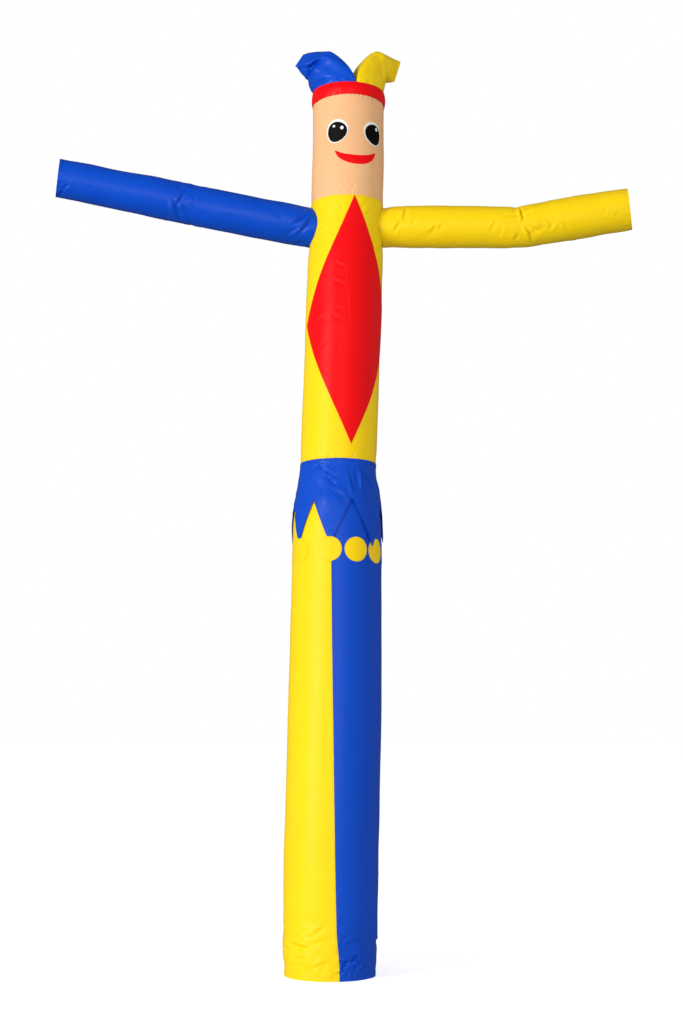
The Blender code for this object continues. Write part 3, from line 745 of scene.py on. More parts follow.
class Graph:
    """The nodes of one material, or of the room's light."""

    def __init__(self, owner: bpy.types.ID, shader: str = "Principled BSDF") -> None:
        """Starts from the owner's own shader."""
        owner.use_nodes = True
        self.tree = owner.node_tree
        self.shader = self.tree.nodes[shader]

    def node(
        self,
        kind: str,
        settings: dict[str, object] | None = None,
        inputs: dict[str | int, object] | None = None,
        output: str | int = 0,
    ) -> Socket:
        """Adds a node.

        Args:
            kind: the node's type.
            settings: its own settings, which are set first.
            inputs: the value or link of each socket, by its name or number.
            output: which of its outputs to give.

        Returns:
            The output, as a value to reckon with.
        """
        made = self.tree.nodes.new(kind)
        for name, value in (settings or {}).items():
            setattr(made, name, value)
        for name, value in (inputs or {}).items():
            self.feed(made.inputs[name], value)
        return Socket(self, made.outputs[output])

    def feed(self, socket: bpy.types.NodeSocket, value: object) -> None:
        """Links a socket to a value of the graph, or sets it."""
        if isinstance(value, Socket):
            self.tree.links.new(value.output, socket)
        else:
            socket.default_value = value

    def mix(self, factor: Socket | float, first: Colour, second: Colour) -> Socket:
        """A colour between two others."""
        values = {0: factor, 6: (*first, 1.0), 7: (*second, 1.0)}
        return self.node("ShaderNodeMix", {"data_type": "RGBA"}, values, 2)

    def noise(self, where: Socket, scale: float, detail: float = 2.0, distortion: float = 0.0) -> Socket:
        """Cloudy noise from 0 to 1, so many times a metre."""
        values = {"Vector": where, "Scale": scale, "Detail": detail, "Distortion": distortion}
        return self.node("ShaderNodeTexNoise", {}, values)

    def objects(self) -> Socket:
        """The object's own coordinates."""
        return self.node("ShaderNodeTexCoord", output="Object")

    def shade(self, **values: object) -> None:
        """Feeds the shader's sockets, named with underscores for spaces."""
        for name, value in values.items():
            self.feed(self.shader.inputs[name.replace("_", " ")], value)


class Feel(Enum):
    """How a cloth's face takes the light: its roughness and its gloss."""

    GLOSSY = (0.36, 0.16)
    SOFT = (0.38, 0.12)
    MATT = (0.46, 0.08)


@dataclass(frozen=True)
class Nylon:
    """Thin coated nylon of one colour, with its weave, faint crinkles and uneven tone.

    Attributes:
        name: the material's name.
        colour, deep: the colours that its tone moves between.
        feel: how it takes the light.
        thread_pitch, weave_height, crinkle_height: the relief of its weave and its crinkles.
        cloud, fine, crinkle: scale, detail and distortion of three noises.
        shares: how much each noise counts for the tone.
        contrast, shift: how the tone is spread between the two colours.
        cloud_dulling, weave_dulling: how much rougher the cloud and the weave make it.
    """

    name: str
    colour: Colour
    deep: Colour
    feel: Feel = Feel.SOFT
    thread_pitch: float = 0.9 * MM
    weave_height: float = 0.022 * MM
    crinkle_height: float = 0.55 * MM
    cloud: tuple[float, ...] = (4.5, 3.0)
    fine: tuple[float, ...] = (60.0, 2.0, 0.4)
    crinkle: tuple[float, ...] = (22.0, 3.0, 0.9)
    shares: tuple[float, float, float] = (0.55, 0.15, 0.30)
    contrast: float = 1.6
    shift: float = -0.35
    cloud_dulling: float = 0.12
    weave_dulling: float = 0.02

    def material(self) -> bpy.types.Material:
        """The cloth's material, made once."""
        if self.name in bpy.data.materials:
            return bpy.data.materials[self.name]
        made = bpy.data.materials.new(self.name)
        graph = Graph(made)
        roughness, gloss = self.feel.value
        body = graph.objects()
        flat = graph.node("ShaderNodeUVMap", {"uv_map": UV_NAME})
        warp = graph.node("ShaderNodeSeparateXYZ", {}, {0: flat}, "X")
        threads = math.tau / self.thread_pitch
        weave = (warp * threads).math("SINE") * (warp.beside("Y") * threads).math("SINE")
        cloud, fine, crinkle = (graph.noise(body, *noise) for noise in (self.cloud, self.fine, self.crinkle))
        tone = cloud * self.shares[0] + fine * self.shares[1] + crinkle * self.shares[2]
        ramp = tone.math("MULTIPLY_ADD", self.contrast, self.shift).math("MAXIMUM", 0.0)
        height = weave * self.weave_height + crinkle * self.crinkle_height
        least = roughness - self.cloud_dulling / 2
        graph.shade(
            Base_Color=graph.mix(ramp.math("MINIMUM", 1.0), self.colour, self.deep),
            Roughness=cloud * self.cloud_dulling + weave * self.weave_dulling + least,
            Normal=graph.node("ShaderNodeBump", {}, {"Height": height, "Distance": 1.0, "Strength": 1.0}),
            Specular_IOR_Level=gloss,
        )
        return made


@dataclass(frozen=True)
class Thread:
    """Sewing thread, twisted along its length."""

    name: str
    colour: Colour
    twist: float = 900.0
    shadow: float = 0.7
    roughness: float = 0.45
    strand_height: float = 0.1 * MM

    def material(self) -> bpy.types.Material:
        """The thread's material, made once."""
        if self.name in bpy.data.materials:
            return bpy.data.materials[self.name]
        made = bpy.data.materials.new(self.name)
        graph = Graph(made)
        strand = graph.noise(graph.objects(), self.twist, 1.0)
        darker = tuple(self.shadow * part for part in self.colour)
        graph.shade(
            Base_Color=graph.mix(strand, self.colour, darker),
            Roughness=strand * 0.2 + self.roughness,
            Normal=graph.node("ShaderNodeBump", {}, {"Height": strand * self.strand_height, "Distance": 1.0}),
        )
        return made


YELLOW = Nylon("yellow_nylon_cloth", (0.95, 0.67, 0.006), (0.90, 0.60, 0.004))
BLUE = Nylon("blue_nylon_cloth", (0.001, 0.070, 0.56), (0.001, 0.058, 0.50), Feel.GLOSSY)
RED = Nylon("red_nylon_cloth", (0.88, 0.001, 0.004), (0.80, 0.001, 0.003))
SKIN = Nylon("skin_nylon_cloth", (0.86, 0.49, 0.250), (0.82, 0.445, 0.215), Feel.MATT)
WHITE = Nylon("white_nylon_cloth", (0.88, 0.88, 0.86), (0.82, 0.82, 0.80), Feel.MATT)
BLACK = Nylon("black_nylon_cloth", (0.004, 0.003, 0.003), (0.007, 0.006, 0.005), Feel.MATT)

YELLOW_THREAD = Thread("yellow_thread", (0.52, 0.30, 0.004))
BLUE_THREAD = Thread("blue_thread", (0.001, 0.008, 0.10))
RED_THREAD = Thread("red_thread", (0.30, 0.001, 0.002))
GOLD_THREAD = Thread("gold_thread", (0.95, 0.80, 0.36))
PALE_THREAD = Thread("pale_thread", (0.92, 0.80, 0.50))


def spread(stops: Sequence[tuple[float, float]], end: float) -> Array:
    """Rows of cloth, each stretch with a pitch of its own.

    Args:
        stops: where each stretch starts, and its pitch.
        end: where the last stretch ends.

    Returns:
        The place of every row, from the first start to the end.
    """
    places = []
    for (start, pitch), (stop, _) in zip(stops, (*stops[1:], (end, 0.0))):
        count = max(1, round((stop - start) / pitch))
        places.extend(start + (stop - start) * i / count for i in range(count))
    return np.array([*places, end])


def add(name: str, data: bpy.types.ID) -> bpy.types.Object:
    """Adds an object with that data to the scene."""
    made = bpy.data.objects.new(name, data)
    bpy.context.scene.collection.objects.link(made)
    return made


def same_place(across: Array, along: Array) -> tuple[Array, Array]:
    """The place of a column and row that are given as degrees and metres already."""
    return across, along


def cloth_net(
    name: str, form: Form, spot: Spot, columns: Array, rows: Array, out: float = 0.0
) -> bpy.types.Object:
    """A face of cloth on a fine grid, laid on a form.

    Args:
        name: the piece's name.
        form: the face that it lies on.
        spot: gives the form's places for a grid's columns and rows.
        columns: the value of each column.
        rows: the value of each row.
        out: how far it lies out from the form.

    Returns:
        The piece, with no thickness yet. Columns or rows that meet are welded.
    """
    bm = bmesh.new()
    bmesh.ops.create_grid(bm, x_segments=len(columns) - 1, y_segments=len(rows) - 1, size=1.0)
    mesh = bpy.data.meshes.new(name)
    bm.to_mesh(mesh)
    bm.free()
    flat = np.empty(len(mesh.vertices) * 3)
    mesh.vertices.foreach_get("co", flat)
    flat = flat.reshape(-1, 3)
    column = np.rint((flat[:, 0] + 1) / 2 * (len(columns) - 1)).astype(int)
    row = np.rint((flat[:, 1] + 1) / 2 * (len(rows) - 1)).astype(int)
    across, along = spot(columns[column], rows[row])
    points = form.place(across, along, out)
    mesh.vertices.foreach_set("co", points.ravel())
    corners = np.empty(len(mesh.loops), int)
    mesh.loops.foreach_get("vertex_index", corners)
    sizes = np.column_stack(form.metres(across, along))
    mesh.uv_layers.new(name=UV_NAME).data.foreach_set("uv", sizes[corners].ravel())
    mesh.update()
    facing = np.empty(len(mesh.vertices) * 3)
    mesh.vertex_normals.foreach_get("vector", facing)
    inside_out = np.sum(facing.reshape(-1, 3) * form.normal(across, along)) < 0.0
    bm = bmesh.new()
    bm.from_mesh(mesh)
    if inside_out:
        bmesh.ops.reverse_faces(bm, faces=bm.faces)
    bmesh.ops.remove_doubles(bm, verts=bm.verts, dist=WELD)
    bm.to_mesh(mesh)
    bm.free()
    return add(name, mesh)


def give_wall(piece: bpy.types.Object, thickness: float) -> None:
    """Gives a face of cloth its wall, inwards, and keeps its cut edges crisp."""
    wall = piece.modifiers.new("wall", "SOLIDIFY")
    wall.thickness = thickness
    wall.offset = -1.0
    wall.use_even_offset = True
    walled = bpy.data.meshes.new_from_object(piece.evaluated_get(bpy.context.evaluated_depsgraph_get()))
    thin = piece.data
    piece.modifiers.clear()
    piece.data = walled
    walled.name = thin.name
    bpy.data.meshes.remove(thin)
    walled.shade_smooth()
    walled.set_sharp_from_angle(angle=math.radians(SHARP_EDGE))


def dress(
    piece: bpy.types.Object, finish: Nylon | Thread, nodes: Iterable[str] = ()
) -> bpy.types.Object:
    """Gives a finished piece its material and body, and hides the solids that it stands for."""
    piece.data.materials.clear()
    piece.data.materials.append(finish.material())
    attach(piece, BODY)
    if nodes:
        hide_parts(*nodes)
    LOG.info("%s: %d faces, %s", piece.name, len(piece.data.polygons), finish.name)
    return piece


@dataclass(frozen=True)
class StitchLine:
    """A line of stitches on a form, through corners given by the form's places."""

    form: Form
    corners: tuple[tuple[float, float], ...]
    out: float = 0.0
    readings: int = 24

    def stitches(self, pitch: float) -> tuple[Array, Array, Array]:
        """The middle, direction and outward direction of each stitch."""
        corners = np.array(self.corners, float)
        parts = [np.linspace(0, 1, self.readings, endpoint=False) + i for i in range(len(corners) - 1)]
        at = np.append(np.concatenate(parts), len(corners) - 1.0)
        across = np.interp(at, range(len(corners)), corners[:, 0])
        along = np.interp(at, range(len(corners)), corners[:, 1])
        points = self.form.place(across, along)
        run = np.append(0.0, np.cumsum(np.linalg.norm(np.diff(points, axis=0), axis=1)))
        count = max(1, int(run[-1] / pitch))
        middles = (np.arange(count) + 0.5) * run[-1] / count
        mid_across, mid_along = np.interp(middles, run, across), np.interp(middles, run, along)
        out = self.form.normal(mid_across, mid_along)
        spots = self.form.surface(mid_across, mid_along) + out * self.out
        ahead = np.column_stack([np.interp(middles + pitch / 4, run, points[:, k]) for k in range(3)])
        behind = np.column_stack([np.interp(middles - pitch / 4, run, points[:, k]) for k in range(3)])
        way = ahead - behind
        return spots, way / np.maximum(np.linalg.norm(way, axis=1, keepdims=True), 1e-12), out


def sew(
    name: str, lines: Sequence[StitchLine], thread: Thread, pitch: float = 4.6 * MM
) -> bpy.types.Object:
    """Makes lines of stitches, each stitch a slim grain of thread that lies half in the cloth.

    Args:
        name: the piece's name.
        lines: where they run.
        thread: the thread's finish.
        pitch: how far apart the stitches are.

    Returns:
        The stitches, as one piece.
    """
    whole = bmesh.new()
    for line in lines:
        bm = bmesh.new()
        for middle, way, out in zip(*line.stitches(pitch)):
            across = np.cross(out, way)
            axes = (way * STITCH_LENGTH * pitch, across * STITCH_WIDTH, out * STITCH_DEPTH)
            grain = Matrix.Translation(Vector(middle)) @ Matrix(np.column_stack(axes).tolist()).to_4x4()
            bmesh.ops.create_icosphere(bm, subdivisions=1, radius=1.0, matrix=grain)
        row = bpy.data.meshes.new("row")
        bm.to_mesh(row)
        bm.free()
        whole.from_mesh(row)
        bpy.data.meshes.remove(row)
    mesh = bpy.data.meshes.new(name)
    whole.to_mesh(mesh)
    whole.free()
    mesh.shade_smooth()
    return dress(add(name, mesh), thread)


def stitch_through(form: Form, across: Array, along: Array, out: float = 0.0) -> StitchLine:
    """A line of stitches through places that are given as two rows of numbers."""
    return StitchLine(form, tuple(zip(across.tolist(), along.tolist())), out)


def ring(form: Form, along: float, steps: int = 36) -> StitchLine:
    """A line of stitches right round a form."""
    return StitchLine(form, tuple((360.0 * i / steps, along) for i in range(steps + 1)))


TROUSER_FORM = TubeForm(
    TROUSER_LEVELS,
    reliefs=(
        Trough(-52, 0.094, -14, 0.150, 0.022, 0.0022),
        Trough(-22, 0.120, 16, 0.120, 0.024, 0.0020),
        Trough(-30, 0.175, -10, 0.110, 0.028, 0.0016),
        Trough(18, 0.105, 28, 0.120, 0.030, 0.0020),
        Trough(48, 0.075, -35, 0.100, 0.026, 0.0026),
        Trough(86, 0.110, 20, 0.130, 0.030, 0.0026),
        Trough(132, 0.085, -18, 0.130, 0.028, 0.0026),
        Trough(178, 0.120, 12, 0.150, 0.030, 0.0024),
        Trough(226, 0.090, 24, 0.120, 0.028, 0.0028),
        Trough(262, 0.140, -20, 0.120, 0.030, 0.0022),
        Crease(-52.4, 0.157, -44.5, 0.148, 7, 1.3),
        Crease(-54.0, 0.130, -45.0, 0.122, 7, 1.3),
        Crease(-43.6, 0.135, -33.6, 0.129, 7, 1.0),
        Crease(-36.9, 0.137, -18.8, 0.156, 8, 1.4),
        Crease(-32.1, 0.149, -17.6, 0.162, 7, 1.2),
        Crease(-74.0, 0.108, -36.0, 0.098, 9, 2.0, 0.6, -2),
        Crease(-58.0, 0.094, -40.0, 0.100, 7, 1.2),
        Crease(-34.2, 0.109, -21.1, 0.124, 7, 1.2),
        Crease(-88.8, 0.092, -64.4, 0.088, 9, 1.6),
        Crease(-91.0, 0.040, -73.6, 0.066, 10, 2.0),
        Crease(-76.0, 0.036, -45.4, 0.044, 8, 1.5, -0.6, 2),
        Crease(-33.8, 0.036, -11.3, 0.061, 9, 1.7, 0.6, 2),
        Crease(-26.6, 0.025, -16.0, 0.053, 6, 1.1),
        Crease(-60.0, 0.060, -40.0, 0.074, 9, 1.2),
        Crease(-3.2, 0.061, 13.2, 0.051, 8, 2.6),
        Crease(12.5, 0.057, 27.2, 0.074, 8, 2.8, -0.6),
        Crease(2.1, 0.036, 10.6, 0.066, 7, 2.4),
        Crease(18.0, 0.031, 27.3, 0.063, 7, 2.6),
        Crease(28.0, 0.020, 40.0, 0.046, 8, 2.4, 0.6, 2),
        Crease(-8.0, 0.018, 6.0, 0.034, 7, 2.0, 0.6, -2),
        Crease(-0.6, 0.130, 15.6, 0.136, 9, 1.0),
        Crease(4.4, 0.107, 22.6, 0.123, 9, 1.2),
        Crease(34.0, 0.050, 62.0, 0.080, 10, 2.4, 0.6, 3),
        Crease(58.0, 0.110, 84.0, 0.098, 10, 1.6),
        Crease(40.0, 0.120, 60.0, 0.140, 9, 1.0),
        *scattered(11, 16, (80, 260), (0.03, 0.16), (0.04, 0.11), (0.4, 0.9)),
        *scattered(12, 16, (-180, 180), (0.17, 0.42), (0.04, 0.10), (0.15, 0.40)),
        *puckers(13, 60, (-180, 180), 0.012, (0.012, 0.034), (4, 7), (0.4, 1.1)),
        Welt(-0.01, 0.012, 0.6 * MM),
        SeamWelt(-7.0 * MM, -0.5 * MM, 0.7 * MM),
        SeamWelt(-7.0 * MM, -0.5 * MM, 0.7 * MM, 180.0),
    ),
    billows=(
        Billow(21, 0.16, 0.35 * MM, 0.0, 0.0, 0.5, 0.6),
        Billow(22, 0.045, 0.45 * MM, 0.55 * MM, 0.06, 0.10, 0.05),
    ),
)

TORSO_FORM = TubeForm(
    TORSO_LEVELS,
    reliefs=(
        Trough(-62, 2.455, 38, 0.100, 0.026, 0.0016),
        Trough(-58, 2.345, -34, 0.110, 0.028, 0.0018),
        Trough(60, 2.350, 32, 0.110, 0.028, 0.0018),
        Trough(128, 2.360, -30, 0.110, 0.030, 0.0024),
        Trough(232, 2.350, 30, 0.110, 0.030, 0.0024),
        Trough(8, 2.085, 0, 0.280, 0.024, 0.0005),
        Trough(175, 2.060, 3, 0.260, 0.024, 0.0012),
        Crease(-53.5, 2.430, -40.2, 2.407, 7, 1.1),
        Crease(-49.2, 2.386, -36.7, 2.404, 6, 1.0),
        Crease(-67.5, 2.354, -45.8, 2.345, 7, 1.0),
        Crease(-72.9, 2.330, -50.2, 2.324, 7, 1.0),
        Crease(-70.1, 2.295, -51.8, 2.298, 6, 0.9),
        Crease(-77.4, 2.259, -57.3, 2.264, 6, 0.9),
        Crease(-73.7, 2.225, -56.6, 2.237, 6, 0.8),
        Crease(-29.1, 2.275, -12.2, 2.261, 7, 1.0),
        Crease(-29.6, 2.214, -10.7, 2.200, 8, 1.3),
        Crease(-26.5, 2.126, -12.2, 2.113, 9, 0.5),
        Crease(-30.8, 2.103, -16.2, 2.083, 9, 0.45),
        Crease(-62.7, 2.085, -41.8, 2.093, 7, 0.8),
        Crease(-13.2, 2.330, -10.0, 2.130, 7, 0.3),
        Crease(-12.2, 2.242, -1.2, 2.040, 6, 0.25),
        Crease(-16.3, 2.409, -33.6, 2.386, 6, 0.8),
        Crease(-17.0, 2.490, -24.7, 2.444, 6, 0.9),
        Crease(-37.8, 2.474, -24.4, 2.459, 6, 0.9),
        Crease(2.0, 2.463, 23.1, 2.485, 6, 0.8),
        Crease(14.3, 2.442, 31.2, 2.465, 6, 0.8),
        Crease(40.0, 2.400, 62.0, 2.380, 7, 1.0),
        Crease(44.0, 2.340, 68.0, 2.352, 7, 1.0),
        *scattered(31, 12, (100, 250), (2.20, 2.44), (0.03, 0.08), (0.5, 1.1)),
        *scattered(32, 22, (-180, 180), (1.70, 2.20), (0.03, 0.09), (0.15, 0.40)),
        *puckers(33, 70, (-180, 180), WAIST, (0.012, 0.030), (4, 7), (0.35, 0.9)),
        *puckers(34, 60, (-180, 180), NECK, (-0.026, -0.010), (4, 7), (0.35, 0.9)),
        Welt(WAIST - 0.01, WAIST + 0.005, 0.5 * MM),
        Welt(NECK - 0.006, NECK + 0.01, 0.4 * MM),
    ),
    billows=(
        Billow(41, 0.14, 0.35 * MM, 0.0, 2.0, 1.0, 0.8),
        Billow(42, 0.040, 0.25 * MM, 0.30 * MM, 2.40, 0.14, 0.12),
    ),
)

HEAD_FORM = TubeForm(
    HEAD_LEVELS,
    reliefs=(
        Trough(-70, 2.545, 55, 0.080, 0.022, 0.0012),
        Trough(35, 2.550, -48, 0.080, 0.022, 0.0010),
        Trough(150, 2.560, 40, 0.090, 0.024, 0.0016),
        Trough(215, 2.545, -50, 0.080, 0.024, 0.0014),
        Crease(-32.4, 2.543, -14.3, 2.514, 6, 0.9),
        Crease(-24.6, 2.573, -12.9, 2.533, 6, 0.8),
        Crease(0.1, 2.549, -5.4, 2.520, 6, 0.8),
        Crease(-77.4, 2.556, -39.0, 2.546, 7, 0.7),
        Crease(-77.0, 2.649, -53.7, 2.655, 6, 0.6),
        Crease(-17.8, 2.689, 1.6, 2.667, 6, 0.5),
        *scattered(51, 8, (90, 270), (2.52, 2.80), (0.03, 0.07), (0.3, 0.8)),
        *puckers(52, 70, (-180, 180), 2.857, (-0.020, -0.006), (3.5, 6), (0.7, 1.8)),
        *puckers(53, 70, (-180, 180), NECK, (0.010, 0.028), (3.5, 6.5), (0.35, 1.0)),
    ),
    billows=(
        Billow(61, 0.12, 0.30 * MM, 0.0, 2.7, 1.0, 0.8),
        Billow(62, 0.040, 0.20 * MM, 0.20 * MM, 2.53, 0.06, 0.10),
    ),
)

SKIRT_FORM = TubeForm(
    SKIRT_LEVELS,
    reliefs=(
        Crease(-33.0, 1.591, -13.0, 1.562, 7, 2.6, 0.6, -3),
        Crease(-28.0, 1.570, -12.0, 1.534, 7, 2.9, 0.6, -3),
        Crease(-21.8, 1.522, 1.1, 1.494, 9, 1.9, 0.9),
        Crease(-6.9, 1.492, 3.2, 1.472, 8, 1.0, 0.9),
        Crease(0.1, 1.600, 8.7, 1.492, 8, -1.4, 0.5),
        Crease(20.1, 1.602, 22.1, 1.500, 8, -1.8, 0.7),
        Crease(16.0, 1.602, 16.5, 1.510, 8, 1.6, 0.3),
        Crease(23.9, 1.606, 50.5, 1.524, 9, 2.6, 0.6),
        Crease(-48.1, 1.612, -40.5, 1.597, 6, 1.0),
        Crease(-63.6, 1.594, -53.4, 1.571, 7, 1.1),
        Crease(-17.4, 1.459, 0.5, 1.489, 7, 1.0),
        Crease(-50.7, 1.608, -33.0, 1.590, 8, 1.5),
        Crease(-78.0, 1.477, -63.0, 1.488, 6, 0.8),
        Crease(-22.2, 1.387, -16.2, 1.404, 6, 0.7),
        Crease(-40.0, 1.560, -30.0, 1.500, 12, 1.0, 0.4),
        Crease(34.0, 1.480, 44.0, 1.400, 10, 1.0, 0.5),
        Crease(60.0, 1.600, 72.0, 1.500, 10, 1.8, 0.6),
        *scattered(71, 14, (80, 280), (1.47, 1.60), (0.03, 0.08), (0.8, 2.0), 60.0),
        *puckers(72, 90, (-180, 180), SKIRT_TOP, (-0.034, -0.014), (4, 7), (0.15, 0.5)),
        Welt(WAIST - 0.012, WAIST - 0.002, 1.0 * MM),
    ),
    billows=(
        Billow(81, 0.09, 0.7 * MM, 0.0, 1.5, 1.0, 0.8),
        Billow(82, 0.045, 0.35 * MM, 0.45 * MM, 1.53, 0.10, 0.30),
    ),
    folds=(
        UprightFold(-100, 15, 0.0010),
        UprightFold(-14, 10, 0.0016),
        UprightFold(22, 9, 0.0030),
        UprightFold(52, 8, 0.0024),
        UprightFold(90, 15, 0.0045),
        UprightFold(138, 13, 0.0050),
        UprightFold(186, 12, 0.0040),
        UprightFold(232, 14, 0.0030),
    ),
    fold_top=SKIRT_TOP,
    fold_low=1.342,
)

BAND_FORM = BandForm(
    rows=(
        (0.00, 0.0609, 0.1219),
        (0.25, 0.0609, 0.1240),
        (0.50, 0.0610, 0.1248),
        (0.75, 0.0610, 0.1238),
        (1.00, 0.0610, 0.1214),
    ),
    bottom=2.8555,
    bottom_dip=-0.0025,
    top=2.9015,
    top_dip=0.0035,
    reliefs=(
        *puckers(91, 46, (-180, 180), 0.002, (0.008, 0.022), (4, 7), (0.4, 1.1), 4.0),
        *puckers(92, 46, (-180, 180), 0.040, (-0.022, -0.008), (4, 7), (0.4, 1.1), 4.0),
    ),
    billows=(Billow(93, 0.06, 0.5 * MM),),
)

ARM_BLUE_FORM = ArmForm(
    side=-1,
    end_slant=0.0085,
    sections=(
        (0.060, 2.4200, 0.0655),
        (0.125, 2.4305, 0.0655),
        (0.165, 2.4375, 0.0660),
        (0.240, 2.4510, 0.0672),
        (0.408, 2.4810, 0.0672),
        (0.485, 2.4950, 0.0670),
        (0.515, 2.5005, 0.0662),
        (0.545, 2.5065, 0.0671),
        (0.625, 2.5220, 0.0670),
        (0.725, 2.5415, 0.0656),
        (0.825, 2.5595, 0.0640),
        (0.900, 2.5740, 0.0638),
        (0.956, 2.5840, 0.0622),
        (0.966, 2.5858, 0.0620),
    ),
    reliefs=(
        Trough(-30, 0.500, 62, 0.100, 0.020, 0.0020),
        Trough(20, 0.535, 75, 0.100, 0.018, 0.0016),
        Trough(150, 0.510, 80, 0.120, 0.020, 0.0022),
        Trough(-10, 0.215, 48, 0.110, 0.024, 0.0024),
        Trough(30, 0.180, -50, 0.080, 0.022, 0.0020),
        Trough(185, 0.200, 50, 0.110, 0.024, 0.0028),
        Crease(-62, 0.545, -8, 0.582, 9, 3.4, 0.7),
        Crease(-36, 0.566, 16, 0.540, 8, 2.8, 0.6),
        Crease(-50, 0.520, -10, 0.545, 7, 2.6, -0.6),
        Crease(-20, 0.500, 20, 0.520, 7, 1.2, 0.6),
        Crease(-70, 0.505, -35, 0.530, 7, 1.3, 0.6),
        Crease(10, 0.560, 50, 0.575, 8, 1.0, 0.6),
        Crease(46, 0.118, -30, 0.186, 9, 3.6, 0.7),
        Crease(20, 0.112, -50, 0.160, 8, 3.0, -0.6),
        Crease(-10, 0.150, -62, 0.200, 8, 1.6, 0.6),
        Crease(60, 0.110, 20, 0.150, 7, 1.4, 0.6),
        Crease(-66, 0.125, -90, 0.165, 8, 1.6, 0.6),
        Crease(-30, 0.922, -56, 0.942, 7, 1.5, 0.6),
        Crease(-50, 0.935, -86, 0.955, 8, 1.8, -0.6),
        Crease(-15, 0.940, -40, 0.915, 7, 1.0, 0.6),
        *scattered(101, 10, (-90, 90), (0.22, 0.50), (0.03, 0.06), (0.3, 0.8), 50.0),
        *scattered(102, 12, (-90, 90), (0.60, 0.92), (0.03, 0.06), (0.2, 0.7), 50.0),
        *scattered(103, 14, (90, 270), (0.15, 0.92), (0.04, 0.08), (0.4, 1.2), 60.0),
        *puckers(104, 44, (-180, 180), 0.955, (-0.030, -0.010), (4, 7), (0.4, 1.1), 6.0),
        Welt(0.957, 1.0, 0.5 * MM),
    ),
    billows=(
        Billow(105, 0.11, 0.5 * MM),
        Billow(106, 0.040, 0.35 * MM, 0.45 * MM, 0.535, 0.06, 0.12),
        Billow(107, 0.035, 0.25 * MM, 0.40 * MM, 0.13, 0.06, 0.0),
    ),
)

ARM_YELLOW_FORM = ArmForm(
    side=1,
    end_slant=0.0170,
    sections=(
        (0.060, 2.4340, 0.0655),
        (0.125, 2.4345, 0.0655),
        (0.165, 2.4380, 0.0677),
        (0.249, 2.4410, 0.0706),
        (0.352, 2.4428, 0.0707),
        (0.452, 2.4442, 0.0700),
        (0.545, 2.4450, 0.0693),
        (0.580, 2.4455, 0.0671),
        (0.600, 2.4490, 0.0697),
        (0.657, 2.4600, 0.0703),
        (0.726, 2.4735, 0.0717),
        (0.795, 2.4870, 0.0731),
        (0.864, 2.5000, 0.0717),
        (0.956, 2.5160, 0.0693),
        (0.966, 2.5178, 0.0691),
    ),
    reliefs=(
        Trough(20, 0.215, 52, 0.110, 0.024, 0.0022),
        Trough(-30, 0.290, 60, 0.090, 0.022, 0.0016),
        Trough(20, 0.583, 88, 0.110, 0.014, 0.0034),
        Trough(-34, 0.628, 70, 0.080, 0.018, 0.0022),
        Trough(150, 0.590, 86, 0.120, 0.016, 0.0034),
        Trough(190, 0.215, 52, 0.110, 0.024, 0.0028),
        Crease(70, 0.585, -10, 0.588, 8, 4.0, 0.8),
        Crease(-5, 0.590, -70, 0.612, 8, 3.0, 0.7),
        Crease(25, 0.590, 60, 0.640, 9, 2.0, 0.6),
        Crease(-12, 0.600, -40, 0.640, 8, 2.0, -0.7),
        Crease(-30, 0.570, -60, 0.560, 7, 1.6, 0.6),
        Crease(-2, 0.655, -30, 0.690, 7, 1.7, 0.6, 2),
        Crease(-12, 0.690, -42, 0.665, 7, 1.5, -0.6, -2),
        Crease(-20, 0.715, -50, 0.735, 7, 1.2, 0.6),
        Crease(80, 0.760, 40, 0.800, 8, 1.0, 0.6),
        Crease(52, 0.200, -8, 0.184, 9, 2.0, 0.7),
        Crease(5, 0.182, -36, 0.146, 8, 1.8, 0.6),
        Crease(14, 0.232, -20, 0.205, 7, 1.2, 0.6),
        Crease(-12, 0.296, -38, 0.272, 7, 1.2, 0.6),
        Crease(-5, 0.320, -30, 0.300, 7, 0.9, 0.6),
        Crease(8, 0.496, -40, 0.474, 7, 1.0, 0.6),
        Crease(-10, 0.520, -50, 0.505, 7, 1.0, -0.6),
        *scattered(111, 8, (-90, 60), (0.22, 0.56), (0.03, 0.06), (0.3, 0.7), 50.0),
        *scattered(112, 10, (-60, 90), (0.72, 0.92), (0.03, 0.06), (0.3, 0.7), 60.0),
        *scattered(113, 14, (90, 270), (0.15, 0.92), (0.04, 0.08), (0.4, 1.2), 60.0),
        *puckers(114, 44, (-180, 180), 0.955, (-0.030, -0.010), (4, 7), (0.4, 1.1), 6.0),
        Welt(0.957, 1.0, 0.5 * MM),
    ),
    billows=(
        Billow(115, 0.11, 0.45 * MM),
        Billow(116, 0.040, 0.35 * MM, 0.45 * MM, 0.62, 0.08, 0.10),
        Billow(117, 0.035, 0.20 * MM, 0.35 * MM, 0.15, 0.06, 0.0),
    ),
)

